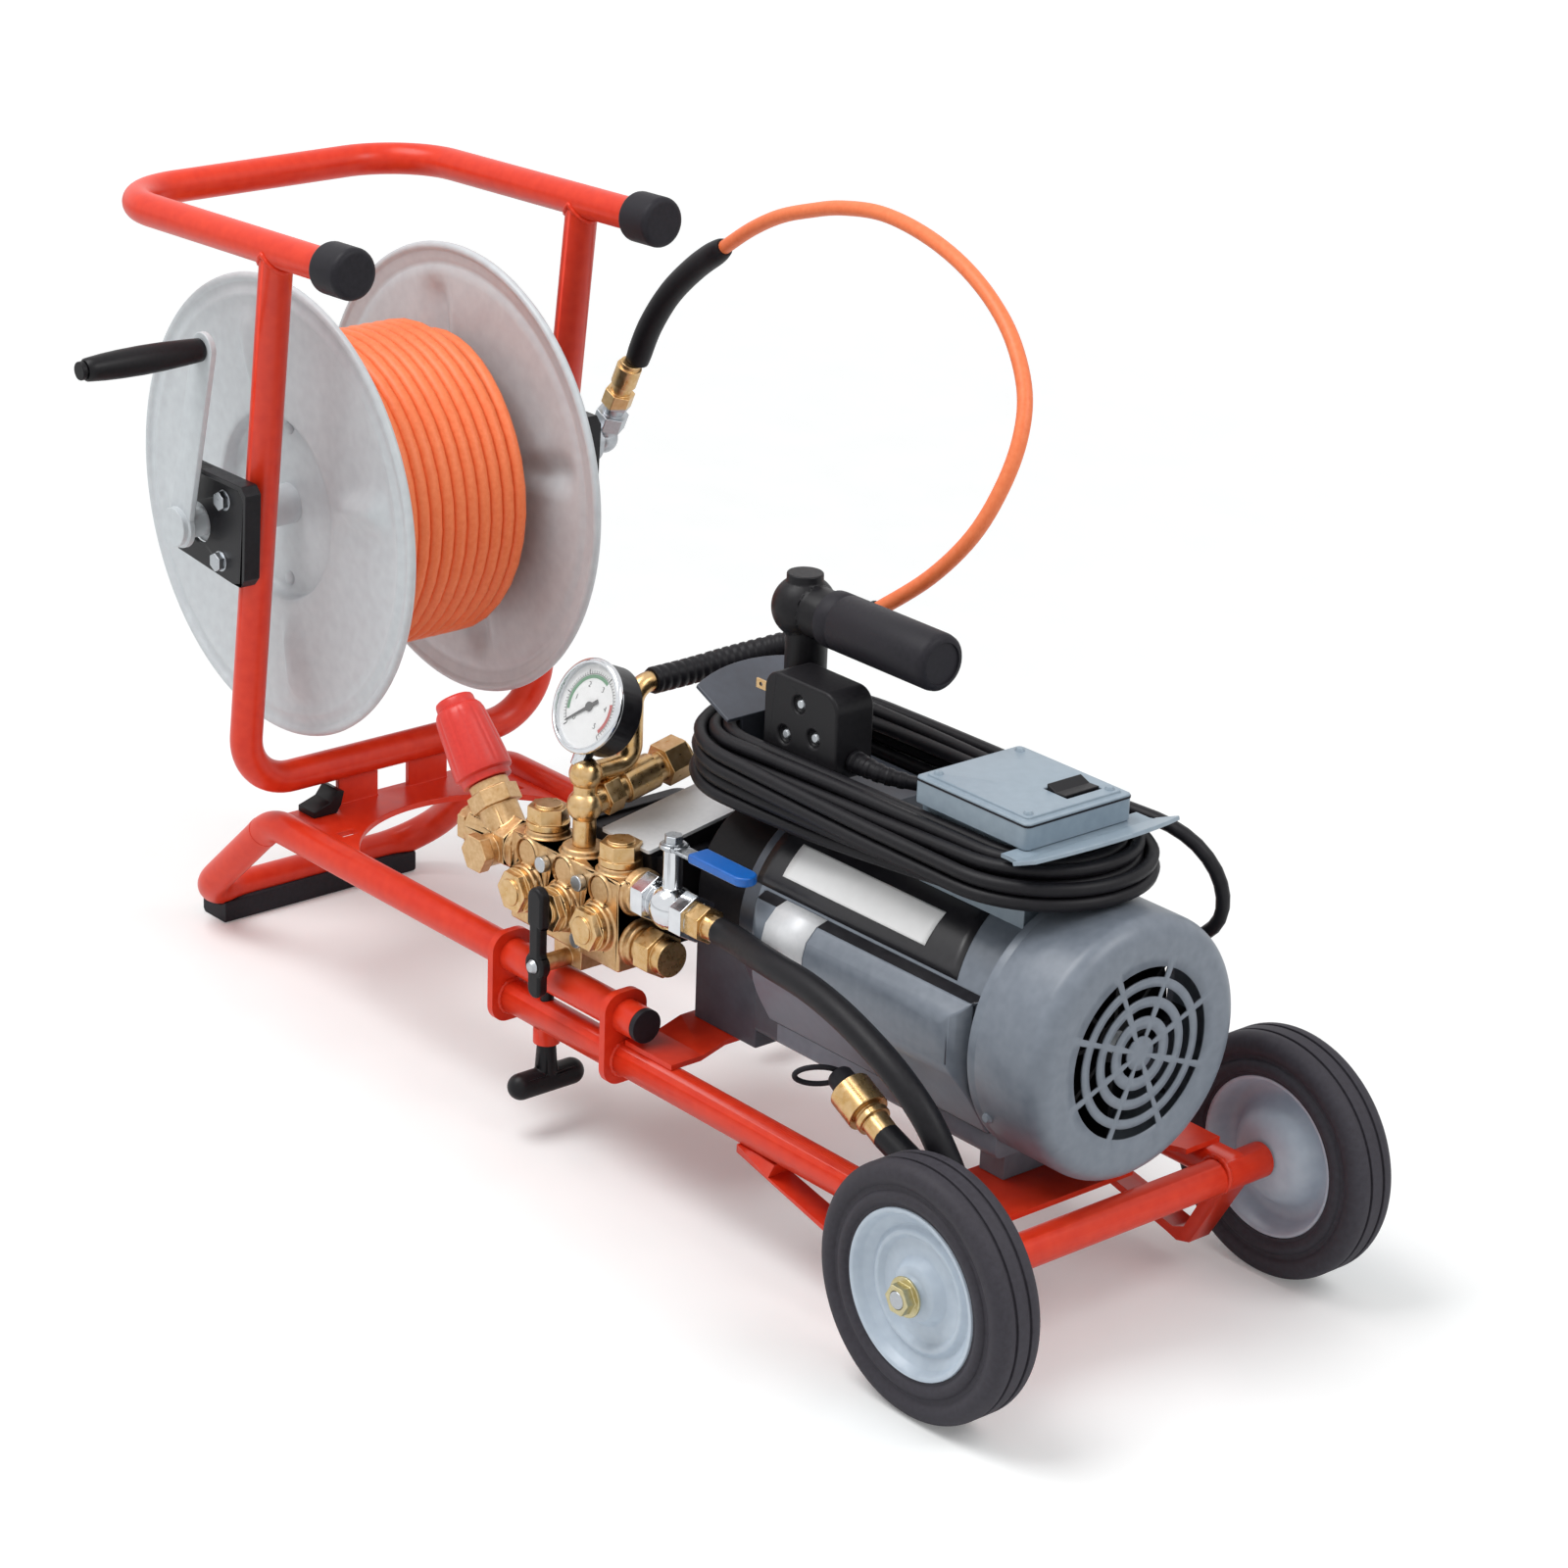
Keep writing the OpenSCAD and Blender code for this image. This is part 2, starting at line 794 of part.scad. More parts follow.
// Half section of a flange: hub, dished disc and rolled edge
module flange_section() {
    difference() {
        union() {
            translate([reel_axle_d / 2, -flange_t / 2])
                square([hub_r - reel_axle_d / 2, flange_t + 3]);
            translate([hub_r - 1, -flange_t / 2])
                square([flange_d / 2 - rim_bead / 2 - hub_r + 1, flange_t]);
            translate([flange_d / 2 - rim_bead / 2, 0])
                circle(d = rim_bead);
            translate([hub_r + 20, 1.1])
                circle(d = 5);
        }
    }
}

// Broad shallow radial pleats pressed in one flange
module flange_ribs() {
    for (k = [0 : 7])
        rotate([0, 0, 45 * k + 12])
            translate([hub_r + 18, 0, flange_t / 2 - 12.2])
                intersection() {
                    rotate([0, 90, 0])
                        cylinder(h = flange_d / 2 - hub_r - 26, d = 26);
                    translate([-1, -20, 12])
                        cube([flange_d, 40, 5]);
                }
}

module reel_flanges() {
    color(flange_grey)
        both_sides()
            translate([reel_x, -flange_y, reel_z])
                rotate([90, 0, 0]) {
                    rotate_extrude($fn = 96)
                        flange_section();
                    flange_ribs();
                    for (k = [0 : 3])
                        rotate([0, 0, 90 * k + 30])
                            translate([hub_r - 12, 0, 2.5])
                                cylinder(h = 4.5, d = 10);
                }
}

reel_axle_near = bracket_y + bracket_t + flange_out + 8;
reel_axle_far = swivel_y + swivel_len - 14;

journal_end = bracket_y + bracket_t + 1.5;
hub_out = flange_y + flange_t / 2 + 3 + weld_fit;

// Axle and drum core that carry the flanges
module reel_drum() {
    core = flange_gap - flange_t - 2 * weld_fit;
    color(steel)
        translate([reel_x, 0, reel_z])
            rotate([-90, 0, 0]) {
                translate([0, 0, -reel_axle_near])
                    cylinder(h = reel_axle_near + reel_axle_far, d = reel_axle_d - 2 * weld_fit);
                for (s = [-1, 1])
                    translate([0, 0, s > 0 ? hub_out : -journal_end])
                        cylinder(h = journal_end - hub_out, r = journal_r);
                difference() {
                    translate([0, 0, -core / 2])
                        cylinder(h = core, d = drum_d);
                    translate([0, 0, -core / 2 + 4])
                        cylinder(h = core - 8, d = drum_d - 8);
                }
            }
}

turns = floor((flange_gap - flange_t - 1) / hose_d) - 1;
hose_start = -flange_gap / 2 + flange_t / 2 + 0.4;

// The hose wound on the drum, its outer layer showing each turn
module wound_hose() {
    width = turns * hose_d;
    color(hose_orange)
        translate([reel_x, 0, reel_z])
            rotate([-90, 0, 0])
                rotate_extrude($fn = 96) {
                    translate([drum_d / 2 + 0.2, hose_start])
                        square([(pack_d - drum_d) / 2 - hose_d / 2, width]);
                    for (k = [0 : turns - 1])
                        translate([pack_d / 2 - hose_d / 2, hose_start + hose_d * (k + 0.5)])
                            circle(d = hose_d);
                }
}

crank_t = 5;
crank_w = 26;
crank_y = bracket_y + bracket_t + flange_out + 3;
crank_tip = [reel_x + crank_len * sin(crank_lean), reel_z + crank_len * cos(crank_lean)];

module crank_arm() {
    color(flange_grey) {
        difference() {
            union() {
                translate([reel_x, -crank_y, reel_z])
                    rotate([90, -90 + crank_lean, 0])
                        linear_extrude(crank_t) {
                            circle(d = crank_w + 8);
                            translate([0, -crank_w / 2])
                                square([crank_len, crank_w]);
                            translate([crank_len, 0])
                                circle(d = crank_w);
                        }
                along_y([reel_x, -crank_y - crank_t - 5, reel_z], 6, 30);
            }
            along_y([reel_x, -reel_axle_near - weld_fit, reel_z], far_cut, reel_axle_d);
        }
        along_y([crank_tip.x, -crank_y - crank_t - grip_len - 4, crank_tip.y],
            grip_len + 6, 9);
        along_y([crank_tip.x, -crank_y - crank_t - grip_len - 5, crank_tip.y], 4, 14);
    }
}

// Barrel-shaped grip that turns on the crank's pin
module crank_grip() {
    end_d = grip_d - 6;
    color(black)
        translate([crank_tip.x, -crank_y - crank_t - seat, crank_tip.y])
            rotate([90, 0, 0])
                difference() {
                    union() {
                        cylinder(h = grip_len * 0.4, d1 = end_d, d2 = grip_d);
                        translate([0, 0, grip_len * 0.4])
                            cylinder(h = grip_len * 0.3, d = grip_d);
                        translate([0, 0, grip_len * 0.7])
                            cylinder(h = grip_len * 0.3, d1 = grip_d, d2 = end_d);
                    }
                    translate([0, 0, -1])
                        cylinder(h = grip_len + 2, d = 9 + 2 * run_fit);
                }
}

// ---------------------------------------------------------------- motor

bell_t = 9;

// Shell with its two end bells, bored for the shaft
module motor_shell() {
    color(motor_grey)
        translate([motor_x, 0, shaft_z])
            rotate([0, 90, 0])
                difference() {
                    cylinder(h = shell_len, r = shell_r, $fn = 96);
                    translate([0, 0, bell_t])
                        cylinder(h = shell_len - 2 * bell_t, r = shell_r - shell_wall);
                    translate([0, 0, -1])
                        cylinder(h = shell_len + 2, d = shaft_d + 2 * run_fit);
                }
}

stator_x = motor_x + 72;
stator_len = 96;
rotor_r = 44;

module stator() {
    color(steel)
        translate([stator_x, 0, shaft_z])
            rotate([0, 90, 0])
                difference() {
                    cylinder(h = stator_len, r = shell_r - shell_wall - weld_fit);
                    translate([0, 0, -1])
                        cylinder(h = stator_len + 2, r = rotor_r + 0.6);
                }
}

shaft_end = cover_x + 44;
crank_front = crankcase_x + 12;

// Rotor, shaft and the pump's eccentrics, which turn as one
module motor_rotor() {
    color(steel) {
        along_x([stator_x + 3, 0, shaft_z], stator_len - 6, 2 * rotor_r);
        along_x([crank_front, 0, shaft_z], shaft_end - crank_front, shaft_d);
        for (k = [0 : 2])
            translate([crank_front + 10 + 27 * k, 0, shaft_z])
                rotate([120 * k, 0, 0])
                    along_x([0, 3, 0], 14, 26);
    }
}

fan_r = 76;
fan_x = cover_x + 12;
fan_len = 30;

module cooling_fan() {
    color(black)
        translate([fan_x, 0, shaft_z])
            rotate([0, 90, 0])
                difference() {
                    union() {
                        cylinder(h = 3, r = fan_r);
                        cylinder(h = fan_len, r = 15);
                        for (k = [0 : 7])
                            rotate([0, 0, 45 * k])
                                translate([12, -1.5, 0])
                                    cube([fan_r - 14, 3, fan_len]);
                    }
                    translate([0, 0, -1])
                        cylinder(h = fan_len + 2, d = shaft_d + 2 * weld_fit);
                }
}

vent_rings = [[52, 61.5], [36, 45.5], [19, 28]];

// Pressed fan cover with three rings of curved vents in its end
module fan_cover() {
    color(motor_grey)
        translate([cover_x, 0, shaft_z])
            rotate([90, 0, 90])
                difference() {
                    rotate_extrude($fn = 96)
                        difference() {
                            cup_section(cover_r, cover_len, 14);
                            translate([0, -1])
                                cup_section(cover_r - cover_wall, cover_len + 1 - cover_wall,
                                    14 - cover_wall);
                        }
                    translate([0, 0, cover_len - 10])
                        linear_extrude(20)
                            difference() {
                                for (v = vent_rings)
                                    difference() {
                                        circle(v[1]);
                                        circle(v[0]);
                                    }
                                for (k = [0 : 2])
                                    rotate(3 + 60 * k)
                                        square([2 * cover_r, 9], center = true);
                            }
                }
}

cover_fore = motor_x + 20;
cover_aft = cover_x - 6;

// Sheet cover over the run capacitor and switch on the near side of the shell
module capacitor_cover() {
    length = cover_aft - cover_fore;
    color(motor_grey)
        difference() {
            intersection() {
                translate([cover_fore, 0, 0])
                    rotate([90, 0, 90])
                        linear_extrude(length)
                            polygon([
                                [-30, 250], [-66, 250], [-84, 245], [-93, 236], [-96, 226],
                                [-96, 206], [-92, 194], [-66, 148], [-62.1, 146], [-30, 146]
                            ]);
                translate([cover_fore + length / 2, -66, 100])
                    linear_extrude(200)
                        rounded_box(length, 60, 24);
            }
            along_x([motor_x, 0, shaft_z], far_cut, 2 * shell_r + 2 * weld_fit);
            translate([motor_x - 1, -base_half_w - weld_fit, 100])
                cube([shell_len + 2, 2 * base_half_w, shaft_z - 20 - 100]);
        }
}

// Box base under the shell
module motor_base() {
    wall = 3;
    top = shaft_z - 20;
    foot_z0 = rail_top + saddle_t + weld_fit;
    color(motor_grey)
        difference() {
            union() {
                translate([motor_x, 0, (top + base_z) / 2])
                    rotate([90, 0, 90])
                        linear_extrude(shell_len)
                            rounded_box(2 * base_half_w, top - base_z, 6);
                translate([motor_saddle_x + 3, -50, foot_z0])
                    cube([24, 100, base_z + 2 - foot_z0]);
            }
            translate([motor_x + wall, -base_half_w + wall, base_z + wall])
                cube([shell_len - 2 * wall, 2 * (base_half_w - wall), far_cut]);
            along_x([motor_x - 1, 0, shaft_z], shell_len + 2, 2 * shell_r + 2 * weld_fit);
        }
}

// ---------------------------------------------------------------- cord wrap and controls

coil_z = 290;
coil_h = 5 * cord_d + 2;
coil_w = 3 * cord_d + 1;
coil_fore = 530;
coil_aft = 926;
coil_half = 79;
neck_top = coil_z + coil_h + 3.5;
front_neck_x = 582;
front_neck_len = 130;
rear_neck_x = 772;
rear_neck_len = 102;
neck_half = 38;
front_top = 316;
sheet_t = 3;
wing_x = rear_neck_x + 118;

// A sheet channel that stands on the round shell
module neck(x, length, top) {
    difference() {
        translate([x, -neck_half, shaft_z + shell_r - 30])
            cube([length, 2 * neck_half, top - shaft_z - shell_r + 30]);
        translate([x + sheet_t, -neck_half + sheet_t, 0])
            cube([length - 2 * sheet_t, 2 * (neck_half - sheet_t), top - sheet_t]);
        along_x([x - 1, 0, shaft_z], length + 2, 2 * shell_r + 2 * weld_fit);
    }
}

// Two sheet metal posts with flared wings, which the cord is wound round
module wrap_bracket() {
    color(motor_grey) {
        neck(front_neck_x, front_neck_len, front_top);
        translate([front_neck_x, -neck_half, front_top - 1])
            cube([sheet_t, 2 * neck_half, neck_top - front_top + 1]);
        translate([front_neck_x + sheet_t, 0, neck_top - sheet_t + 0.6])
            wing(-1, 52, 50);
        neck(rear_neck_x, rear_neck_len, neck_top);
        translate([rear_neck_x + rear_neck_len - 1, -62, neck_top - sheet_t])
            cube([wing_x + 1 - rear_neck_x - rear_neck_len, 124, sheet_t]);
        translate([wing_x - 1, 0, neck_top - sheet_t])
            wing(1, 66, 37);
    }
}

// A wing of half width w and reach r, bowed at its outer edge and turned up
module wing(dir, w, r) {
    rise = dir > 0 ? 22 : 24;
    rotate([0, -dir * rise, 0])
        linear_extrude(sheet_t)
            intersection() {
                translate([dir > 0 ? 0 : -r, -w])
                    square([r, 2 * w]);
                translate([dir * (r - 2 * w - 20), 0])
                    circle(2 * w + 20);
            }
}

box_w = 96;
box_len = 108;
box_h = 19;
box_x = rear_neck_x + 2;

module switch_box() {
    color(motor_grey)
        translate([box_x + box_len / 2, 0, neck_top + seat])
            difference() {
                union() {
                    linear_extrude(box_h)
                        rounded_box(box_len, box_w, 4);
                    translate([0, 0, box_h - 1])
                        linear_extrude(3)
                            rounded_box(box_len - 10, box_w - 10, 3);
                }
                translate([box_len / 2 - 26, 18, box_h - 6])
                    linear_extrude(20)
                        square([22, 32], center = true);
            }
}

rocker_x = box_x + box_len - 26;
rocker_z = neck_top + seat + box_h + 1;

module switch_rocker() {
    color(black)
        translate([rocker_x, 18, rocker_z])
            rotate([90, 0, 0])
                translate([0, 0, -15.7])
                    linear_extrude(31.4)
                        polygon([[-9, 5], [0, 1.5], [9, 2], [8, -5], [-8, -5]]);
}

arm_x = front_neck_x + 24;
grip_z = 424;
lift_grip_r = 20.5;
lift_grip_len = 112;

// Post and head that carry the lifting grip
module carry_arm() {
    foot_top = front_top + seat;
    color(black) {
        translate([arm_x, 0, foot_top])
            linear_extrude(5)
                rounded_box(40, 60, 6);
        translate([arm_x, 0, foot_top])
            cylinder(h = grip_z - foot_top, d = 30);
        translate([arm_x - 4, 0, grip_z])
            sphere(d = 46);
        along_x([arm_x, 0, grip_z], 26, 36);
        along_x([arm_x, 0, grip_z], lift_grip_len + 18, 18);
        translate([arm_x - 4, 0, grip_z + 6])
            cylinder(h = 19, d = 26);
    }
}

module carry_grip() {
    color(black)
        translate([arm_x + 26 + seat, 0, grip_z])
            rotate([0, 90, 0])
                difference() {
                    rotate_extrude() {
                        square([lift_grip_r - 4, lift_grip_len]);
                        square([lift_grip_r, lift_grip_len - 4]);
                        translate([lift_grip_r - 4, lift_grip_len - 4])
                            circle(4);
                    }
                    translate([0, 0, -1])
                        cylinder(h = lift_grip_len - 4.5, d = 18 + 2 * weld_fit);
                }
}

plug_x = arm_x + 26;
plug_y = -14.7;
plug_z = front_top + 12;

// Ground fault plug, stowed on the coil beside the post
module ground_fault_plug() {
    color(black)
        translate([plug_x + 24, plug_y - 16, plug_z + 33])
            rotate([90, 0, 0])
                translate([0, 0, -17])
                    difference() {
                        linear_extrude(34)
                            rounded_box(76, 66, 14);
                        for (p = [[-2, 16], [14, -4], [-16, -10]])
                            translate([p.x, p.y, 30])
                                cylinder(h = 8, d = 12);
                    }
}

module plug_blades() {
    color(brass)
        for (s = [-1, 1])
            translate([plug_x - 14 - 15 - weld_fit, plug_y - 18 + 7 * s, plug_z + 44])
                difference() {
                    translate([-3, 0, 0])
                        cube([18, 1.6, 7]);
                    along_y([2, -1, 3.5], 4, 3.2);
                }
}

// The wound cord: an oval hank with round ends, draped over the fan cover
module cord_coil() {
    length = coil_aft - coil_fore;
    color(black)
        difference() {
            translate([(coil_fore + coil_aft) / 2, 0, coil_z])
                linear_extrude(coil_h)
                    difference() {
                        stadium(length, 2 * coil_half);
                        stadium(length - 2 * coil_w, 2 * (coil_half - coil_w));
                    }
            along_x([cover_x - 1, 0, shaft_z], cover_len + 2, 2 * cover_r + 2 * seat);
            along_x([motor_x, 0, shaft_z], shell_len, 2 * shell_r + 2 * seat);
        }
}

module stadium(length, width) {
    square([length - width, width], center = true);
    for (s = [-1, 1])
        translate([s * (length - width) / 2, 0])
            circle(d = width);
}

lead_route = [
    [893, 62, 302], [900, 71, 312], [908, 81, 316], [915, 90, 311], [919, 98, 298],
    [918, 104, 281], [911, 107, 265], [899, 106, 253], [885, 101, 247], [871, 93, 246],
    [861, 83, 248], [856, 77, 249]
];

module cord_lead() {
    color(black)
        swept_tube(smooth_route(lead_route, 3), cord_d, 10);
}

// ---------------------------------------------------------------- pump

module crankcase_outline(inset) {
    z0 = 168 + inset;
    z1 = crankcase_top - 3 - inset;
    back = (z1 - z0) / 2;
    translate([manifold_y, z0])
        square([8 - manifold_y, z1 - z0]);
    translate([8, (z0 + z1) / 2])
        circle(r = back);
}

// Crankcase: a ribbed cast body open inside round the eccentrics
module crankcase() {
    color(black)
        difference() {
            union() {
                translate([crankcase_x, 0, 0])
                    rotate([90, 0, 90])
                        linear_extrude(crankcase_len)
                            crankcase_outline(0);
                for (k = [0 : 4])
                    translate([crankcase_x + 14 + 18 * k, 0, 0])
                        rotate([90, 0, 90])
                            linear_extrude(4)
                                crankcase_outline(-3);
            }
            along_x([crankcase_x + 8, 0, shaft_z], crankcase_len - 16, 40);
            along_x([crankcase_x + 8, 0, shaft_z], far_cut, shaft_d + 2 * run_fit);
        }
}

// Cast housing between the crankcase and the motor
module pump_adapter() {
    length = motor_x - adapter_x;
    color(black)
        difference() {
            union() {
                translate([adapter_x + weld_fit, 0, shaft_z])
                    rotate([0, 90, 0])
                        cylinder(h = length - 2 * weld_fit, r = 42);
                translate([adapter_x + 14, 0, 0])
                    rotate([90, 0, 90])
                        linear_extrude(length - 14 - weld_fit) {
                            translate([-60, pump_saddle_z])
                                square([120, shaft_z - pump_saddle_z]);
                            translate([0, shaft_z])
                                circle(r = 60);
                        }
            }
            along_x([adapter_x - 1, 0, shaft_z], length + 2, shaft_d + 2 * run_fit);
            along_x([adapter_x + 18, 0, shaft_z], length - 26, 64);
            translate([adapter_x + 24, -54, pump_saddle_z + 8])
                cube([length - 36, 140, 34]);
        }
}

cap_pitch = 42;
front_cap_z = 186;
top_cap_y = manifold_y - manifold_depth / 2;

function cap_x(k) = manifold_x + 20 + cap_pitch * k;

// Forged brass head with round bosses for its valves
module manifold() {
    color(brass)
        difference() {
            union() {
                translate([manifold_x, manifold_front, manifold_bottom])
                    cube([manifold_len, manifold_depth - weld_fit,
                        manifold_top - manifold_bottom]);
                for (k = [0 : 2]) {
                    along_y([cap_x(k), manifold_front - 6, front_cap_z], 20, 36);
                    translate([cap_x(k), top_cap_y, manifold_top - 4])
                        cylinder(h = 9, d = 32);
                }
                along_x([manifold_x - 8, top_cap_y, 204], 10, 38);
                for (k = [0 : 2])
                    along_y([cap_x(k), manifold_front - 1, 213], 20, 22);
                along_x([manifold_x + manifold_len - 2, top_cap_y, 216], 10, 34);
                along_x([manifold_x + manifold_len - 2, top_cap_y, 176], 10, 32);
            }
            for (k = [0 : 1])
                translate([cap_x(k) + cap_pitch / 2, manifold_front - 4, manifold_bottom - 1])
                    cylinder(h = far_cut, d = 9);
        }
}

module valve_caps() {
    color(brass) {
        for (k = [0 : 2]) {
            translate([cap_x(k), manifold_front - 6 - weld_fit, front_cap_z])
                rotate([90, 0, 0]) {
                    cylinder(h = 4, d = 34);
                    hex_z(9.5, 28);
                    cylinder(h = 11.5, d = 20);
                }
            if (k != 1)
                translate([cap_x(k), top_cap_y, manifold_top + 5 + weld_fit]) {
                    cylinder(h = 5, d = 32);
                    hex_z(16, 27);
                    cylinder(h = 18, d = 20);
                }
        }
        translate([manifold_x + manifold_len + 8 + weld_fit, top_cap_y, 176])
            rotate([0, 90, 0]) {
                cylinder(h = 30, d = 27);
                translate([0, 0, 5])
                    hex_z(16, 31);
            }
    }
}

module pump_bolts() {
    color(steel)
        for (k = [0 : 1], z = [manifold_bottom + 12, manifold_top - 13])
            along_y([cap_x(k) + cap_pitch / 2, manifold_front - 6, z], 6 - weld_fit, 12);
}

knob_lean = 40;
knob_axis = [-sin(knob_lean), 0, cos(knob_lean)];
unloader_start = [manifold_x - 26, top_cap_y, 208];

module unloader_body() {
    color(brass)
        difference() {
            union() {
                along_x([manifold_x - 60, top_cap_y, 204], 52 - weld_fit, 35);
                translate([manifold_x - 22, top_cap_y, 204])
                    rotate([0, 90, 0])
                        hex_z(12, 36);
                translate([manifold_x - 70, top_cap_y, 204])
                    rotate([0, 90, 0])
                        hex_z(14, 30);
                along_x([manifold_x - 76, top_cap_y, 204], 8, 22);
                along_y([unloader_start.x, top_cap_y - 26, 200], 30, 24);
                translate([unloader_start.x, top_cap_y - 24, 200])
                    rotate([90, 0, 0])
                        hex_z(9, 26);
                translate([unloader_start.x, top_cap_y, 204])
                    sphere(d = 34.5);
                bar(unloader_start, unloader_start + knob_axis * 42, 30);
                translate(unloader_start + knob_axis * 22)
                    rotate([0, -knob_lean, 0])
                        hex_z(13, 34);
                bar(unloader_start, unloader_start + knob_axis * 62, 12);
            }
        }
}

module unloader_knob() {
    color(knob_red)
        translate(unloader_start + knob_axis * (42 + seat))
            rotate([0, -knob_lean, 0])
                difference() {
                    union() {
                        cylinder(h = 8, d = knob_d - 6);
                        translate([0, 0, 6])
                            cylinder(h = knob_len - 14, d1 = knob_d, d2 = knob_d - 8);
                        translate([0, 0, knob_len - 9])
                            cylinder(h = 9, d1 = knob_d - 8, d2 = knob_d - 18);
                    }
                    translate([0, 0, -1])
                        cylinder(h = 24, d = 12 + 2 * run_fit);
                }
}

pulse_x = clamp_x;
pulse_z = 146;
pulse_y = manifold_front - 18;

module pulse_valve() {
    color(brass) {
        translate([pulse_x - 16, manifold_front + 4, pulse_z - 6])
            cube([32, manifold_depth - 8, manifold_bottom - weld_fit - pulse_z + 6]);
        along_y([pulse_x, pulse_y, pulse_z], 36, 13);
        along_y([pulse_x, pulse_y - 10, pulse_z], 20, 8);
    }
}

module pulse_lever() {
    color(black)
        translate([pulse_x, pulse_y - seat, pulse_z])
            rotate([90, 0, 0])
                difference() {
                    linear_extrude(9) {
                        circle(d = 21);
                        translate([-6, 0])
                            square([12, 50]);
                        translate([-8.5, 30])
                            square([17, 22]);
                        translate([0, 52])
                            circle(d = 17);
                        translate([-7, -18])
                            square([14, 18]);
                        translate([0, -18])
                            circle(d = 14);
                    }
                    translate([0, 0, -1])
                        cylinder(h = 12, d = 8 + 2 * run_fit);
                }
}

riser_x = cap_x(1);
riser_y = top_cap_y;
tee_z = 260;
pipe_z = 284;
branch_rise = 12;

// Outlet tee, relief coupling and the bent pipe that the hose starts from
module outlet_fittings() {
    pipe = [
        [riser_x, riser_y, pipe_z], [riser_x, -56, pipe_z],
        [riser_x, -56, 342], [riser_x, -40.05, 342]
    ];
    color(brass) {
        translate([riser_x, riser_y, manifold_top + 5 + weld_fit])
            cylinder(h = pipe_z - manifold_top - 5, d = 17);
        translate([riser_x, riser_y, tee_z])
            sphere(d = 26);
        translate([riser_x, riser_y, pipe_z])
            sphere(d = 24);
        translate([riser_x, riser_y, tee_z])
            rotate([branch_rise - 90, 0, 0]) {
                cylinder(h = 78, d = 22);
                translate([0, 0, 14])
                    hex_z(14, 26);
                translate([0, 0, 34])
                    cylinder(h = 28, d = 27);
                translate([0, 0, 70])
                    hex_z(20, 29);
                translate([0, 0, 86])
                    cylinder(h = 7, d = 24);
            }
        bent_bar(pipe, 14, 15);
    }
}

gauge_at = [riser_x - 4, riser_y + 2, 334];
gauge_face = [0, -cos(gauge_tilt), sin(gauge_tilt)];
gauge_down = [0, -sin(gauge_tilt), -cos(gauge_tilt)];

// Places a child with its Z along the gauge's face and its Y up the dial
module at_gauge() {
    translate(gauge_at)
        rotate([90 - gauge_tilt, 0, 0])
            children();
}

module gauge_case() {
    color(steel) {
        at_gauge()
            difference() {
                rotate_extrude($fn = 72) {
                    translate([0, -gauge_depth + 4])
                        square([gauge_d / 2 - 3, gauge_depth - 4]);
                    translate([0, -gauge_depth])
                        square([gauge_d / 2 - 8, 5]);
                    translate([gauge_d / 2 - 3, -gauge_depth + 4])
                        square([1, gauge_depth - 6]);
                    translate([gauge_d / 2 - 3.5, -2])
                        circle(3.5);
                }
                translate([0, 0, -5])
                    cylinder(h = 20, d = gauge_d - 8);
            }
        difference() {
            bar(gauge_at - gauge_face * 14 + gauge_down * (gauge_d / 2 - 6),
                gauge_at - gauge_face * 14 + gauge_down * (gauge_d / 2 + 8), 14);
            translate([riser_x, riser_y, pipe_z])
                sphere(d = 24 + 2 * weld_fit);
        }
    }
}

module gauge_dial() {
    color("white")
        at_gauge()
            translate([0, 0, -5 + weld_fit])
                difference() {
                    cylinder(h = 1, d = gauge_d - 8 - 2 * weld_fit);
                    translate([0, 0, -1])
                        cylinder(h = 3, d = 3 + 2 * run_fit);
                }
}

needle_rest = 130;

module gauge_needle() {
    color(black)
        at_gauge()
            translate([0, 0, -3.7])
                rotate([0, 0, needle_rest])
                    union() {
                        translate([0, 0, -1])
                            cylinder(h = 2, d = 3);
                        cylinder(h = 1, d = 7);
                        linear_extrude(0.8)
                            polygon([[-1.6, -9], [1.6, -9], [0.5, 24], [-0.5, 24]]);
                    }
}

valve_x = manifold_x + manifold_len + 8;
valve_z = 216;
valve_stem = 44;
valve_len = 56;

module inlet_valve() {
    color(steel) {
        along_x([valve_x + weld_fit, top_cap_y, valve_z], valve_len, 24);
        translate([valve_x + weld_fit, top_cap_y, valve_z])
            rotate([0, 90, 0])
                hex_z(13, 31);
        translate([valve_x + valve_len - 13, top_cap_y, valve_z])
            rotate([0, 90, 0])
                hex_z(13, 31);
        translate([valve_x + valve_len / 2, top_cap_y, valve_z])
            sphere(d = 34);
        translate([valve_x + valve_len / 2, top_cap_y, valve_z])
            cylinder(h = valve_stem, d = 14);
        translate([valve_x + valve_len / 2, top_cap_y, valve_z])
            cylinder(h = valve_stem + 9, d = 8);
    }
}

module inlet_lever() {
    color("#1470D2")
        translate([valve_x + valve_len / 2, top_cap_y, valve_z + valve_stem + seat])
            difference() {
                union() {
                    cylinder(h = 4, d = 20);
                    translate([0, -7, 0])
                        cube([30, 14, 3]);
                    translate([26, -9, 0])
                        cube([50, 18, 7]);
                    translate([76, 0, 0])
                        cylinder(h = 7, d = 18);
                }
                translate([0, 0, -1])
                    cylinder(h = 12, d = 8 + 2 * run_fit);
            }
}

tail_x = valve_x + valve_len + 2 * weld_fit;

// Brass hose tail screwed into the valve
module hose_tail() {
    color(brass)
        translate([tail_x, top_cap_y, valve_z])
            rotate([0, 90, 0]) {
                hex_z(14, 24);
                cylinder(h = 24, d = 19);
            }
}

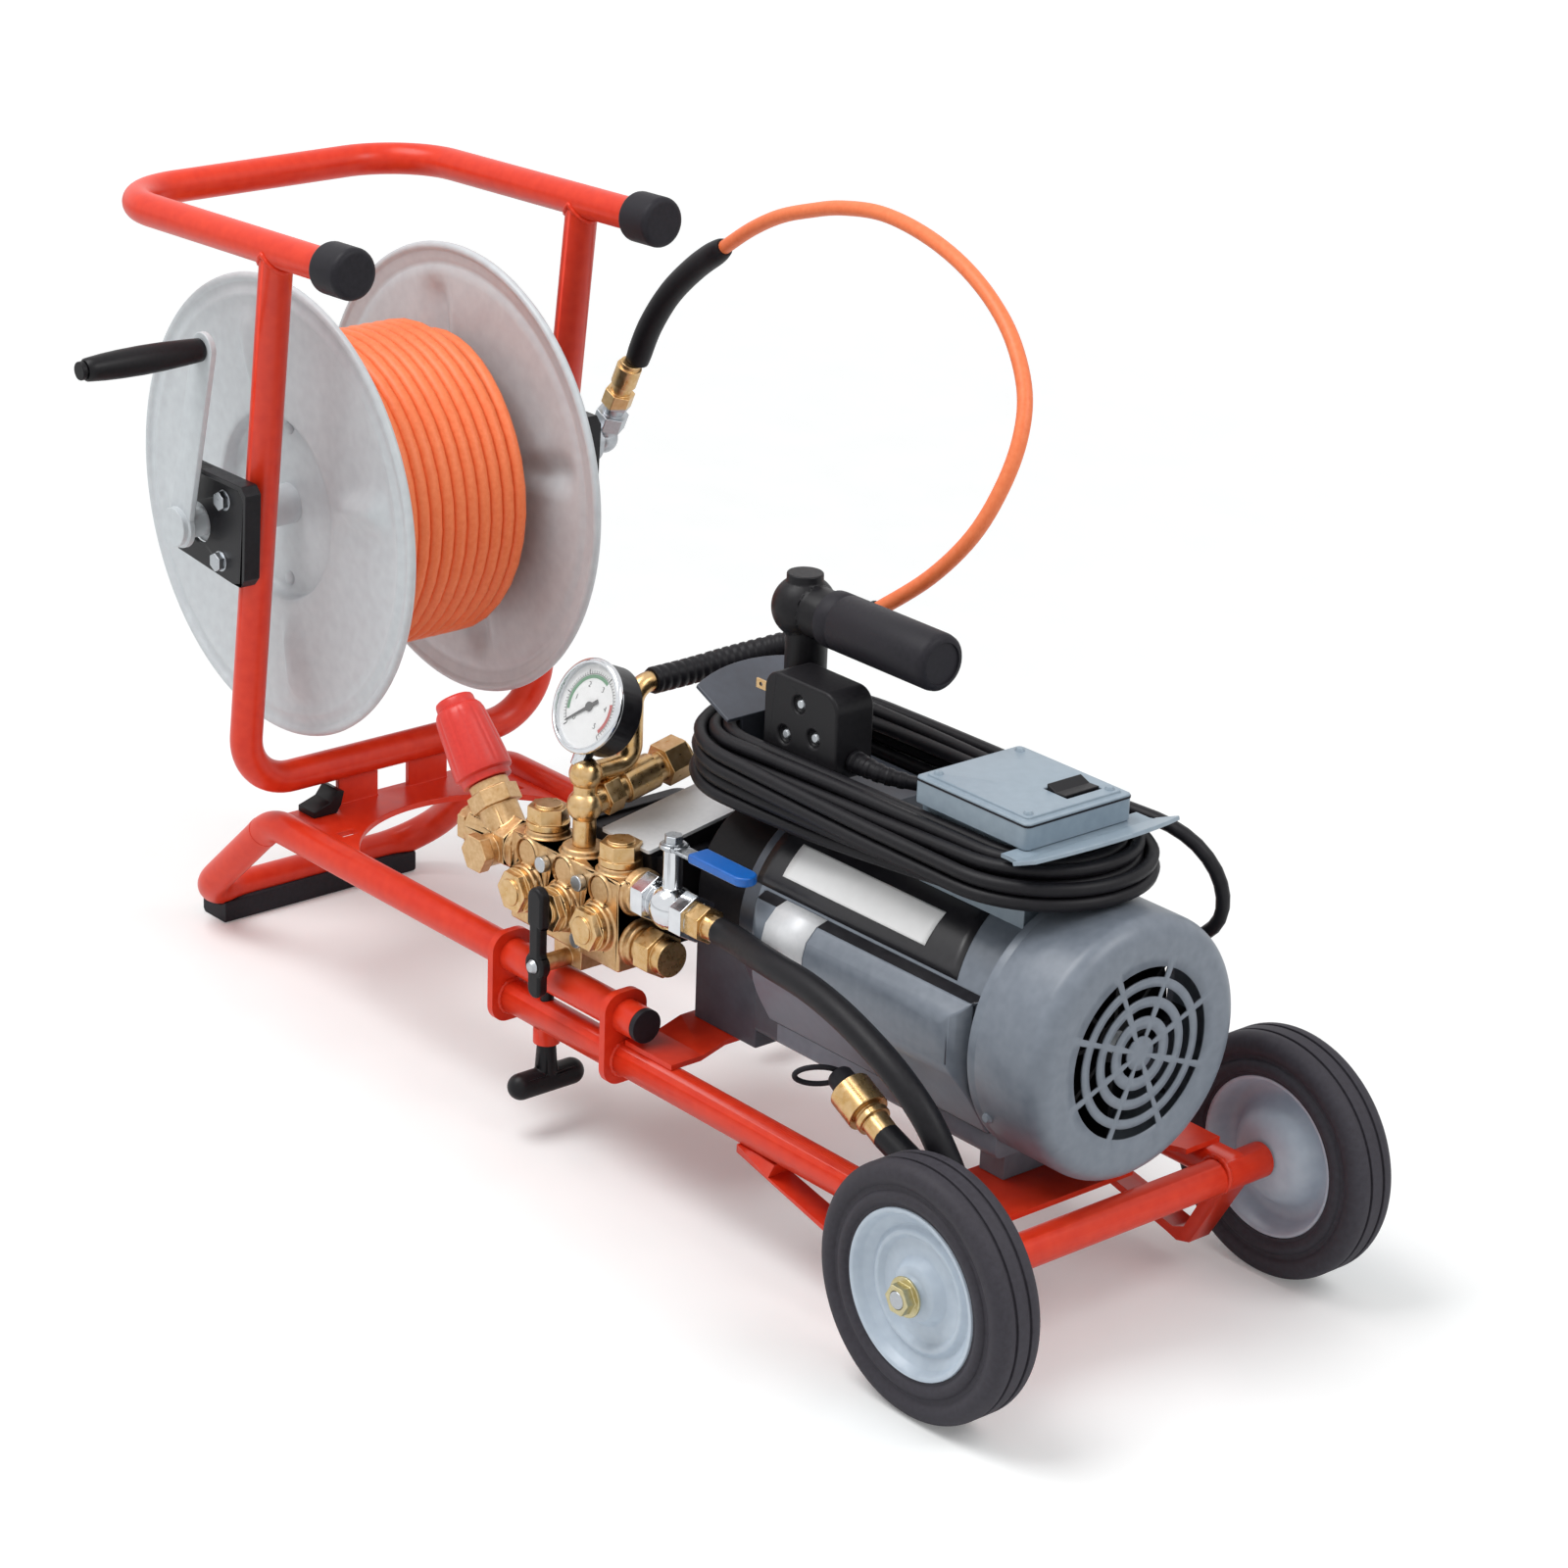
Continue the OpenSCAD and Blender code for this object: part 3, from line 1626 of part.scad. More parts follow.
inlet_route = [
    [tail_x + 24 + weld_fit, top_cap_y, valve_z], [651, top_cap_y, valve_z], [668, -107, 218],
    [690, -113, 222], [722, -119, 225], [760, -124, 226], [797, -128, 222], [833, -131, 213],
    [864, -132, 200], [889, -131, 182], [904, -128, 161], [907, -121, 141], [896, -112, 125],
    [873, -103, 119], [845, -98, 120.5], [814, -95, 128]
];
coupling_end = [814, -95, 128];
coupling_axis = unit([-0.9, 0.08, 0.36]);

module inlet_hose() {
    color(black)
        swept_tube(smooth_route(inlet_route, 2), inlet_d, 12);
}

coupling_bore_r = 13.1;

// Swivel coupling for a garden hose
module garden_coupling() {
    b = coupling_end;
    a = coupling_axis;
    color(brass)
        difference() {
            union() {
                bar(b, b + a * 24, 20);
                bar(b + a * 22, b + a * 46, 31);
                bar(b + a * 14, b + a * 19, 25);
            }
            bar(b + a * 26, b + a * 60, 2 * coupling_bore_r);
        }
}

// Course of the jetting hose from the swivel to the outlet pipe
reel_sleeve_route = [
    [116, 240.15, 446], [131.5, 240, 478], [156, 240, 511], [188, 240, 540], [222, 239, 563]
];
feed_route = [
    [222.4, 239, 563.3], [256, 237, 585], [292, 234, 603], [330, 231, 616], [370, 227, 627],
    [420, 222, 634], [472, 216, 631], [524, 207, 621], [568, 198, 604], [602, 188, 583],
    [628, 176, 555], [640, 162, 526], [640, 147, 493], [630, 131, 458], [606, 115, 424],
    [573.4, 97.2, 394.4]
];
pump_sleeve_route = [
    [573, 97, 394], [552, 86, 377.5], [528, 71, 363.5], [506, 51, 353], [492, 25, 346],
    [486, -6, 342], [486, -39.8, 342]
];
sleeve_d = 20;

module feed_hose() {
    color(hose_orange)
        swept_tube(smooth_route(feed_route, 3), hose_d, 8);
}

// Rubber sleeves that keep the hose from kinking at its two ends
module reel_sleeve() {
    color(black)
        swept_tube(smooth_route(reel_sleeve_route, 3), sleeve_d, 10);
}

module pump_sleeve() {
    color(black)
        swept_tube(smooth_route(pump_sleeve_route, 3), sleeve_d, 10);
}

// ---------------------------------------------------------------- output

base_frame();
frame_plates();
axle_rod();
axle_nuts();
tyre_near();
tyre_far();
rim_near();
rim_far();
clamp_knob_near();
clamp_knob_far();
front_tube();
front_plate();
foot_pad();
end_caps();
reel_frame();
reel_brackets();
reel_latch();
swivel();
reel_flanges();
reel_drum();
wound_hose();
crank_arm();
crank_grip();
motor_shell();
stator();
motor_rotor();
cooling_fan();
fan_cover();
capacitor_cover();
motor_base();
wrap_bracket();
switch_box();
switch_rocker();
carry_arm();
carry_grip();
ground_fault_plug();
plug_blades();
cord_coil();
cord_lead();
crankcase();
pump_adapter();
manifold();
valve_caps();
pump_bolts();
unloader_body();
unloader_knob();
pulse_valve();
pulse_lever();
gauge_case();
gauge_dial();
gauge_needle();
outlet_fittings();
inlet_valve();
inlet_lever();
hose_tail();
inlet_hose();
garden_coupling();
feed_hose();
reel_sleeve();
pump_sleeve();
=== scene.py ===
# Electric water jetter: a tube cart with a brass pump, a motor and a cranked hose reel.
import bmesh
import bpy
import math
import numpy as np
from mathutils import Matrix, Vector


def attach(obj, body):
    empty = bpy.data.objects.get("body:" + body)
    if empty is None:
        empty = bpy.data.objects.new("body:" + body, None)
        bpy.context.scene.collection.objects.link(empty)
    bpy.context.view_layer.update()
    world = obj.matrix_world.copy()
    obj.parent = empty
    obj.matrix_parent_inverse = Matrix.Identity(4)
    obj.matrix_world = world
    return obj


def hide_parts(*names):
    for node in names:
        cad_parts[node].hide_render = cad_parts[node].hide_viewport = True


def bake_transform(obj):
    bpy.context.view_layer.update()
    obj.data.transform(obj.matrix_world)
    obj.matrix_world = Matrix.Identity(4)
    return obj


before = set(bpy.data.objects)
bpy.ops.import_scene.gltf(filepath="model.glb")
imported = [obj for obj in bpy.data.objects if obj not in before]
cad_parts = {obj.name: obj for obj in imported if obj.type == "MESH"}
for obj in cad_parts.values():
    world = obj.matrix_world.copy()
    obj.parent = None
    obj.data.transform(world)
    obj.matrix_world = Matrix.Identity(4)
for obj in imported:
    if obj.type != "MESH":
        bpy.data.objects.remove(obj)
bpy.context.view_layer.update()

# Camera: a long lens at eye height beside the wheel end, looking down along the cart.
# The frame is turned by two degrees, so that the cart climbs to the left.
turn, height, roll = math.radians(48.62), math.radians(21.6), math.radians(2.28)
aim_point, camera_away = Vector((0.51863, 0.06141, 0.25)), 3.07651
toward = Vector((math.sin(turn) * math.cos(height), -math.cos(turn) * math.cos(height), math.sin(height)))
right = Vector((math.cos(turn), math.sin(turn), 0))
above = toward.cross(right)
across = right * math.cos(roll) + above * math.sin(roll)
upward = above * math.cos(roll) - right * math.sin(roll)
lens = bpy.data.cameras.new("camera")
lens.sensor_width = 36
lens.lens = 96.56
lens.clip_end = 60
camera = bpy.data.objects.new("camera", lens)
bpy.context.scene.collection.objects.link(camera)
spot = aim_point + toward * camera_away
camera.matrix_world = Matrix((
    (across.x, upward.x, toward.x, spot.x), (across.y, upward.y, toward.y, spot.y),
    (across.z, upward.z, toward.z, spot.z), (0, 0, 0, 1)))
bpy.context.scene.camera = camera

# Studio floor: a pale seamless sheet that keeps the cart's soft shadow.
# To the camera it glows a little, and more with distance, so that it runs into a white wall.


def paint(hex_value):
    """A linear colour from a written sRGB value."""
    parts = [int(hex_value[i:i + 2], 16) / 255 for i in (1, 3, 5)]
    return [p / 12.92 if p <= 0.04045 else ((p + 0.055) / 1.055) ** 2.4 for p in parts] + [1]


def add(material, kind, settings):
    """Adds a node: an output is linked to its socket, any other value is set on the socket or the node."""
    node = material.node_tree.nodes.new(kind)
    for key, value in settings.items():
        if isinstance(value, bpy.types.NodeSocket):
            material.node_tree.links.new(value, node.inputs[key])
        elif isinstance(key, int) or key in node.inputs:
            node.inputs[key].default_value = value
        else:
            setattr(node, key, value)
    return node


def finish(name, grain_mm, low, high, rough, bump_mm, detail=3.0, strength=0.35, **shader):
    """A material whose colour, gloss and relief drift together, over grains and over patches of a
    hand's breadth. A grain too fine to show on the real piece is drawn as coarse as it needs to show."""
    material = bpy.data.materials.new(name)
    material.use_nodes = True
    material.node_tree.nodes.clear()
    where = add(material, "ShaderNodeTexCoord", {}).outputs["Object"]
    grains = add(material, "ShaderNodeTexNoise", {
        "Vector": where, "Scale": 1000 / grain_mm, "Detail": detail, "Roughness": 0.55})
    patches = add(material, "ShaderNodeTexNoise", {"Vector": where, "Scale": 9.0, "Detail": 2.0})
    grain_part = add(material, "ShaderNodeMath", {
        "operation": "MULTIPLY_ADD", 0: grains.outputs["Fac"], 1: 0.6, 2: 0.0})
    drift = add(material, "ShaderNodeMath", {
        "operation": "MULTIPLY_ADD", 0: patches.outputs["Fac"], 1: 0.4, 2: grain_part.outputs[0]})
    drift_range = {"Value": drift.outputs[0], "From Min": 0.3, "From Max": 0.7}
    tone = add(material, "ShaderNodeMapRange", drift_range)
    colour = add(material, "ShaderNodeMix", {
        "data_type": "RGBA", "Factor": tone.outputs[0], 6: paint(low), 7: paint(high)})
    gloss = add(material, "ShaderNodeMapRange", {**drift_range, "To Min": rough[0], "To Max": rough[1]})
    relief = add(material, "ShaderNodeBump", {
        "Height": grains.outputs["Fac"], "Strength": strength, "Distance": bump_mm / 1000})
    body = add(material, "ShaderNodeBsdfPrincipled", {
        "Base Color": colour.outputs[2], "Roughness": gloss.outputs[0], "Normal": relief.outputs[0],
        **{key.replace("_", " "): value for key, value in shader.items()}})
    add(material, "ShaderNodeOutputMaterial", {"Surface": body.outputs[0]})
    return material


ground = bmesh.new()
bmesh.ops.create_circle(ground, cap_ends=True, segments=96, radius=14)
floor_mesh = bpy.data.meshes.new("studio_floor")
ground.to_mesh(floor_mesh)
studio_floor = bpy.data.objects.new("studio_floor", floor_mesh)
bpy.context.scene.collection.objects.link(studio_floor)
sheet = finish("matt_white_paper", 60, "#F0F2F2", "#F5F6F6", (0.65, 0.75), 0.05, Specular_IOR_Level=0.2)
sheet_nodes = sheet.node_tree.nodes
seen = add(sheet, "ShaderNodeLightPath", {})
away = add(sheet, "ShaderNodeVectorMath", {
    "operation": "LENGTH", 0: sheet_nodes["Texture Coordinate"].outputs["Object"]})
fade = add(sheet, "ShaderNodeMapRange", {
    "Value": away.outputs["Value"], "From Min": 0.8, "From Max": 4.0, "To Min": 0.12, "To Max": 0.62})
glow = add(sheet, "ShaderNodeEmission", {"Color": (1, 1, 1, 1), "Strength": fade.outputs[0]})
clear = add(sheet, "ShaderNodeEmission", {"Color": (0, 0, 0, 1), "Strength": 0.0})
lit = add(sheet, "ShaderNodeMixShader", {
    0: seen.outputs["Is Camera Ray"], 1: clear.outputs[0], 2: glow.outputs[0]})
summed = add(sheet, "ShaderNodeAddShader", {
    0: sheet_nodes["Principled BSDF"].outputs[0], 1: lit.outputs[0]})
sheet.node_tree.links.new(summed.outputs[0], sheet_nodes["Material Output"].inputs["Surface"])
floor_mesh.materials.append(sheet)

# Studio light: a white room for the camera and for reflections, a plain sky for the rest,
# and two soft boxes above, the larger one on the wheel side.
room = bpy.data.worlds.new("white_room")
room.use_nodes = True
bpy.context.scene.world = room
room.node_tree.nodes.clear()
ray = add(room, "ShaderNodeLightPath", {})
clean = add(room, "ShaderNodeMath", {
    "operation": "MAXIMUM", 0: ray.outputs["Is Camera Ray"], 1: ray.outputs["Is Transmission Ray"]})
mirrored = add(room, "ShaderNodeMath", {
    "operation": "MAXIMUM", 0: clean.outputs[0], 1: ray.outputs["Is Glossy Ray"]})
plain = add(room, "ShaderNodeBackground", {"Color": (1, 1, 1, 1), "Strength": 0.5})
white = add(room, "ShaderNodeBackground", {"Color": (1, 1, 1, 1), "Strength": 1.0})
pick = add(room, "ShaderNodeMixShader", {0: mirrored.outputs[0], 1: plain.outputs[0], 2: white.outputs[0]})
add(room, "ShaderNodeOutputWorld", {"Surface": pick.outputs[0]})
for name, place, size, power in (
        ("soft_box_over", (-0.2, -1.2, 3.0), 1.8, 62), ("soft_box_wheel", (2.6, 0.6, 2.4), 1.4, 26)):
    lamp = bpy.data.lights.new(name, "AREA")
    lamp.energy = power
    lamp.size = size
    box = bpy.data.objects.new(name, lamp)
    box.location = place
    box.rotation_euler = (Vector((0.45, 0, 0.2)) - Vector(place)).to_track_quat("-Z", "Y").to_euler()
    bpy.context.scene.collection.objects.link(box)
bpy.context.scene.view_settings.view_transform = "Standard"

# Power cord: 10 m of black three-core rubber cable, 10 mm thick, wound twelve times by hand
# round the two posts over the motor. Each turn lies on the ones below and on the fan cover.
# The rubber jacket is extruded, with a matt skin that gives long soft highlights.


def smooth_route(points, steps):
    """Points of an even curve through the route's own points."""
    p = [Vector(q) for q in points]
    found = []
    for i in range(len(p) - 1):
        a, b, c, d = p[max(i - 1, 0)], p[i], p[i + 1], p[min(i + 2, len(p) - 1)]
        for s in range(steps):
            t = s / steps
            found.append(0.5 * (2 * b + (c - a) * t + (2 * a - 5 * b + 4 * c - d) * t * t
                                + (3 * b - a - 3 * c + d) * t ** 3))
    return found + [p[-1]]


def strands(name, lines, diameter, material, rounding=2, thickness=lambda share, k: 1, closed=False):
    """Round strands on their own lines of points, as one curve; thickness is relative, from the share
    of a line that a point has behind it and from its number."""
    curve = bpy.data.curves.new(name, "CURVE")
    curve.dimensions = "3D"
    curve.bevel_depth = diameter / 2
    curve.bevel_resolution = rounding
    curve.use_fill_caps = True
    for line in lines:
        strand = curve.splines.new("POLY")
        strand.points.add(len(line) - 1)
        strand.use_cyclic_u = closed
        for k, (point, place) in enumerate(zip(strand.points, line)):
            point.co = (*place, 1)
            point.radius = thickness(k / (len(line) - 1), k)
    curve.materials.append(material)
    piece = bpy.data.objects.new(name, curve)
    bpy.context.scene.collection.objects.link(piece)
    return piece


def laid(name, lines, diameter, material, body, slot, *shape, **more):
    """Strands that ride on one body; shape and more are the rest of what strands() takes."""
    piece = strands(name, lines, diameter, material, *shape, **more)
    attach(piece, body)
    return piece


def run(points):
    """Length of a line of points."""
    return sum((Vector(b) - Vector(a)).length for a, b in zip(points, points[1:]))


cable = finish("black_rubber_cable", 4, "#111014", "#1D1C20", (0.4, 0.54), 0.06,
               IOR=1.5, Specular_IOR_Level=0.22)
hank_fore, hank_aft, outer_half, column_pitch = 0.609, 0.847, 0.0737, 0.0103
first_layer, layer_pitch, cord_r, cord_gap = 0.2956, 0.01025, 0.005, 0.01012
shaft_z, shell_r, cover_r, cover_fore = 0.215, 0.0803, 0.0937, 0.876
post_half, box_fore, under_box, hank_top, side_slack = 0.0433, 0.76, 0.3373, 0.345, 0.004
rise_from, rise_long, settles, presses = 0.7, 0.14, 160, 3
# The cell of each turn over the shell and over the fan cover, by column and layer, and the fifth
# of the front bend in which it moves on to the next cell.
cells = [(2, 3), (2, 4), (1, 4), (1, 3), (1, 2), (1, 1), (1, 0), (0, 0), (0, 1), (0, 2), (0, 3), (0, 4)]
over_fan = [(3, 3), (3, 4), (2, 4), (1, 4), (1, 3), (2, 3), (3, 2), (2, 2), (1, 2), (0, 2), (0, 3), (0, 4)]
move_stage = [4, 3, 2, 2, 2, 2, 1, 0, 0, 0, 0]
side_steps, arc_steps = 14, 16
stations = (
    [("far", hank_fore + (hank_aft - hank_fore) * i / side_steps) for i in range(side_steps)]
    + [("rear", math.pi * i / arc_steps) for i in range(arc_steps)]
    + [("near", hank_aft - (hank_aft - hank_fore) * i / side_steps) for i in range(side_steps)]
    + [("front", math.pi * i / arc_steps) for i in range(arc_steps)])


def on_plan(station, half):
    """Where a turn of given half width passes a station of the hank."""
    side, v = stations[station]
    if side == "far":
        return v, half
    if side == "near":
        return v, -half
    if side == "rear":
        return hank_aft + half * math.sin(v), half * math.cos(v)
    return hank_fore - half * math.sin(v), -half * math.cos(v)


def cell_place(cell):
    """Half width and height of the turn in a cell of the pile, by column and layer."""
    return np.array([outer_half - column_pitch * cell[0], first_layer + layer_pitch * cell[1]])


def eased(t):
    """A step from 0 to 1 that starts and ends gently."""
    t = max(0.0, min(1.0, t))
    return t * t * (3 - 2 * t)


count = len(stations)
turns = np.zeros((len(cells) * count, 2))
for k, cell in enumerate(cells):
    for s, (side, v) in enumerate(stations):
        over = 1.0 if side == "rear" else 0.0 if side == "front" else eased((v - rise_from) / rise_long)
        lay = cell_place(cell) * (1 - over) + cell_place(over_fan[k]) * over
        if side == "front" and k < len(cells) - 1:
            moved = eased(v / math.pi * 5 - move_stage[k])
            lay = lay * (1 - moved) + cell_place(cells[k + 1]) * moved
        turns[k * count + s] = lay
# The turns settle: each evens out, then those that overlap push apart and lie on what is below.
for settle in range(settles):
    calmer = turns.copy()
    calmer[1:-1] = turns[1:-1] * 0.7 + 0.15 * (turns[:-2] + turns[2:])
    turns = calmer
    for press in range(presses):
        for s in range(count):
            pile = turns[s::count]
            for i in range(len(pile)):
                gap = pile - pile[i]
                far = np.hypot(gap[:, 0], gap[:, 1])
                for j in range(i + 1, len(pile)):
                    if far[j] < cord_gap:
                        push = gap[j] / max(far[j], 1e-9) * (cord_gap - far[j]) / 2
                        pile[j] += push
                        pile[i] -= push
            for lie in pile:
                x, y = on_plan(s, lie[0])
                under = cover_r if x > cover_fore else shell_r
                if abs(y) < under - side_slack and math.hypot(y, lie[1] - shaft_z) < under + cord_r:
                    lie[1] = shaft_z + math.sqrt((under + cord_r) ** 2 - y * y)
                lie[1] = min(lie[1], under_box if x > box_fore else hank_top)
                lie[0] = max(lie[0], post_half)
            turns[s::count] = pile
wound = [Vector((*on_plan(n % count, turns[n][0]), turns[n][1])) for n in range(len(turns))]
lead_in = [Vector(p) for p in (
    (0.6945, -0.0307, 0.3450), (0.706, -0.0303, 0.3445), (0.720, -0.026, 0.342), (0.732, -0.015, 0.3385),
    (0.742, 0.000, 0.335), (0.750, 0.016, 0.332), (0.759, 0.031, 0.330), (0.772, 0.0425, 0.3285),
    (0.790, 0.0465, 0.3275))]
lead_out = [Vector(p) for p in (
    (0.858, 0.079, 0.3365), (0.884, 0.084, 0.334), (0.904, 0.090, 0.325), (0.916, 0.097, 0.309),
    (0.919, 0.103, 0.290), (0.914, 0.107, 0.271), (0.902, 0.107, 0.256), (0.886, 0.102, 0.248),
    (0.871, 0.093, 0.246), (0.861, 0.083, 0.248), (0.856, 0.077, 0.249))]
# The first turn joins the far side late, and the last one leaves it early for the motor.
first_kept = 12
last_kept = (len(cells) - 1) * count + 13
cord_points = smooth_route(lead_in + wound[first_kept:last_kept] + lead_out, 2)
power_cord = laid("power_cord", [cord_points[::-1]], 2 * cord_r, cable, "cart", "black_rubber")
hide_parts("cord_coil", "cord_lead")

# Feed hose: the orange thermoplastic jetting hose, 11.4 mm thick, that arches by its own
# stiffness from the reel's swivel over to the outlet pipe of the pump.
# Its extruded urethane jacket has a satin skin with soft, broad highlights.
jet_hose = 0.0114
jacket = finish("orange_urethane_jacket", 4, "#ED733F", "#F88956", (0.42, 0.52), 0.05, IOR=1.49)
reel_sleeve_route = [(116, 240.15, 446), (131.5, 240, 478), (156, 240, 511), (188, 240, 540), (222, 239, 563)]
feed_route = [
    (222.4, 239, 563.3), (256, 237, 585), (292, 234, 603), (330, 231, 616), (370, 227, 627), (420, 222, 634),
    (472, 216, 631), (524, 207, 621), (568, 198, 604), (602, 188, 583), (628, 176, 555), (640, 162, 526),
    (640, 147, 493), (630, 131, 458), (606, 115, 424), (573.4, 97.2, 394.4)]
pump_sleeve_route = [(573, 97, 394), (552, 86, 377.5), (528, 71, 363.5), (506, 51, 353), (492, 25, 346),
                     (486, -6, 342), (486, -39.8, 342)]


def metres(route):
    """The points of a route that is written in millimetres."""
    return [Vector(p) / 1000 for p in route]


feed_points = smooth_route(metres(reel_sleeve_route + feed_route[1:] + pump_sleeve_route[1:]), 6)
feed_curve = strands("feed_curve", [feed_points], jet_hose, jacket, 5)
feed_line = bpy.data.objects.new("feed_line", bpy.data.meshes.new_from_object(feed_curve))
bpy.context.scene.collection.objects.link(feed_line)
bpy.data.objects.remove(feed_curve)
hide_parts("feed_hose")
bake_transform(feed_line)

# Bend guards on the feed hose: a smooth rubber sleeve over the reel's end, and a ribbed one,
# moulded with a rib each 6 mm, over the pump's end. Both taper to the hose, and their moulded
# skin is a little glossier than the cable's.
guard_rubber = finish("moulded_guard_rubber", 3, "#111014", "#1C1B1F", (0.36, 0.52), 0.06, strength=0.3,
                      IOR=1.5, Specular_IOR_Level=0.2)
guard_thick, guard_rounding, guard_ribs = 0.020, 6, 28


def ribbed(share, ribs, depth):
    """Relative thickness of a guard that has narrow grooves between its ribs."""
    return 1 - depth * (math.cos(2 * math.pi * ribs * share) > 0.2)


reel_guard = laid(
    "smooth_bend_guard", [smooth_route(metres(reel_sleeve_route), 16)], guard_thick, guard_rubber,
    "front_section", "black_rubber", guard_rounding,
    lambda share, k: 0.96 + 0.05 * min(1, share * 12) - 0.28 * max(0.0, (share - 0.86) / 0.14) ** 2)
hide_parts("reel_sleeve")
pump_guard = laid(
    "ribbed_bend_guard", [smooth_route(metres(pump_sleeve_route), 24)], guard_thick, guard_rubber,
    "cart", "black_rubber", guard_rounding,
    lambda share, k: (1 - 0.25 * max(0.0, (0.35 - share) / 0.35)) * ribbed(share, guard_ribs, 0.07))
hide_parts("pump_sleeve")

# Water inlet hose: 20 mm black rubber hose from the valve's brass tail, past the motor,
# bent under itself beside the wheel to the garden hose coupling.
inlet_route = [
    (638.15, -98, 216), (650, -98.4, 216.2), (668, -103, 218), (692, -111, 221.5), (722, -119, 225),
    (760, -124, 226), (797, -128, 222), (833, -131, 213), (864, -132, 200), (889, -131, 182),
    (904, -128, 161), (907, -121, 141), (896, -112, 125), (873, -103, 119), (845, -98, 120.5),
    (814, -95, 128)]
inlet_points = smooth_route(metres(inlet_route), 6)
inlet_hose = 0.020
inlet_line = laid("inlet_line", [inlet_points], inlet_hose, cable, "cart", "black_rubber", 6)
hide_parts("inlet_hose")

# Cart frame: one-inch steel tube and plate, cut, bent and MIG welded, then powder coated red.
# The coat is a polyester powder baked to a gloss. Its orange peel is drawn coarser and fainter
# than the real one, and only softens the long highlights on the tubes.
coat = finish("red_powder_coat", 9, "#D62E14", "#E23D20", (0.28, 0.36), 0.03, detail=1.0, strength=0.08,
              IOR=1.5, Specular_IOR_Level=0.35)


def placed(name, form, matrix, materials, body, sharp=32, replaced=()):
    """A finished form put in its place as a piece of the model."""
    bmesh.ops.transform(form, verts=form.verts, matrix=matrix)
    if matrix.determinant() < 0:
        bmesh.ops.reverse_faces(form, faces=form.faces)
    mesh = bpy.data.meshes.new(name)
    form.to_mesh(mesh)
    form.free()
    for material in materials:
        mesh.materials.append(material)
    mesh.shade_smooth()
    mesh.set_sharp_from_angle(angle=math.radians(sharp))
    piece = bpy.data.objects.new(name, mesh)
    bpy.context.scene.collection.objects.link(piece)
    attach(piece, body)
    if replaced:
        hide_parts(*replaced)
    return piece


def break_edges(piece, edge_mm, sharp, steps=2):
    """Rounds a piece's hard edges a little."""
    edge = piece.modifiers.new("broken_edges", "BEVEL")
    edge.width, edge.segments, edge.use_clamp_overlap = edge_mm / 1000, steps, False
    edge.limit_method, edge.angle_limit, edge.harden_normals = "ANGLE", math.radians(sharp), True
    return piece


def fair_copy(name, node, material, body, edge_mm=0.6, sharp=32, cut=None, second=None, steps=2,
              join=True):
    """A CAD solid copied with its triangles joined, its hard edges broken and its round faces smooth.
    cut is an axis and a place on it where the faces are parted; second is a second finish and a test
    of a face's middle that says whether the face has it."""
    form = bmesh.new()
    form.from_mesh(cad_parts[node].data)
    bmesh.ops.remove_doubles(form, verts=form.verts, dist=2e-5)
    if join:
        bmesh.ops.dissolve_limit(form, angle_limit=math.radians(0.6), verts=form.verts, edges=form.edges)
    if cut:
        facing = Vector([float(letter == cut[0]) for letter in "xyz"])
        bmesh.ops.bisect_plane(form, geom=form.verts[:] + form.edges[:] + form.faces[:],
                               plane_co=facing * cut[1], plane_no=facing)
    for face in form.faces:
        face.material_index = 1 if second and second[1](face.calc_center_median()) else 0
    materials = [material, second[0]] if second else [material]
    piece = placed(name, form, Matrix.Identity(4), materials, body, sharp, [node])
    return break_edges(piece, edge_mm, sharp, steps) if edge_mm else piece


fair_copy("lower_rails", "base_frame", coat, "cart", 0, join=False)
fair_copy("clamp_and_saddle_plates", "frame_plates", coat, "cart", 0, sharp=12, join=False)
fair_copy("front_hoop", "front_tube", coat, "front_section", 0)
fair_copy("slotted_front_plate", "front_plate", coat, "front_section", 0.8)
fair_copy("reel_hoop_and_handle", "reel_frame", coat, "front_section", 0)

# Welds of the frame: fillets 4 mm wide under the powder coat, laid in short overlapping ripples.
# They run round the tubes at the clamp plates, under the handle and on the axle tube.
tube_r, rail_y, rail_z, upright_y = 0.0127, 0.1125, 0.092, 0.1414
axle_x, axle_tube_z, plate_face, weld_wide = 0.936, 0.0905, 0.0032, 0.0038


def ring_round(middle, first, second, radius, count=48):
    """Points of a ring about a middle, across two directions."""
    return [Vector(middle) + radius * (math.cos(a) * Vector(first) + math.sin(a) * Vector(second))
            for a in (2 * math.pi * i / count for i in range(count))]


def weld_fillets(name, seams, body):
    """Fillet welds as thin rippled beads, each on its own line."""
    laid(name, seams, weld_wide, coat, body, "frame_paint", 2,
         lambda share, k: 1 + 0.16 * math.sin(k * 2.1), True)


rail_seams = []
for side in (-1, 1):
    for plate in (0.421, 0.553):
        for face in (-plate_face, plate_face):
            rail_seams.append(ring_round((plate + face, side * rail_y, rail_z), (0, 1, 0), (0, 0, 1), tube_r))
    joint = (axle_x, side * (rail_y - tube_r + 0.0006), axle_tube_z)
    rail_seams.append(ring_round(joint, (1, 0, 0), (0, 0, 1), tube_r))
weld_fillets("rail_welds", rail_seams, "cart")
handle_seams = []
for side in (-1, 1):
    seam = []
    for a in (2 * math.pi * i / 56 for i in range(56)):
        seam.append(Vector((0.1649 + (tube_r + 0.0002) * math.cos(a), side * upright_y + tube_r * math.sin(a),
                            0.6003 - tube_r * abs(math.cos(a)) - 0.0006)))
    handle_seams.append(seam)
weld_fillets("handle_welds", handle_seams, "front_section")

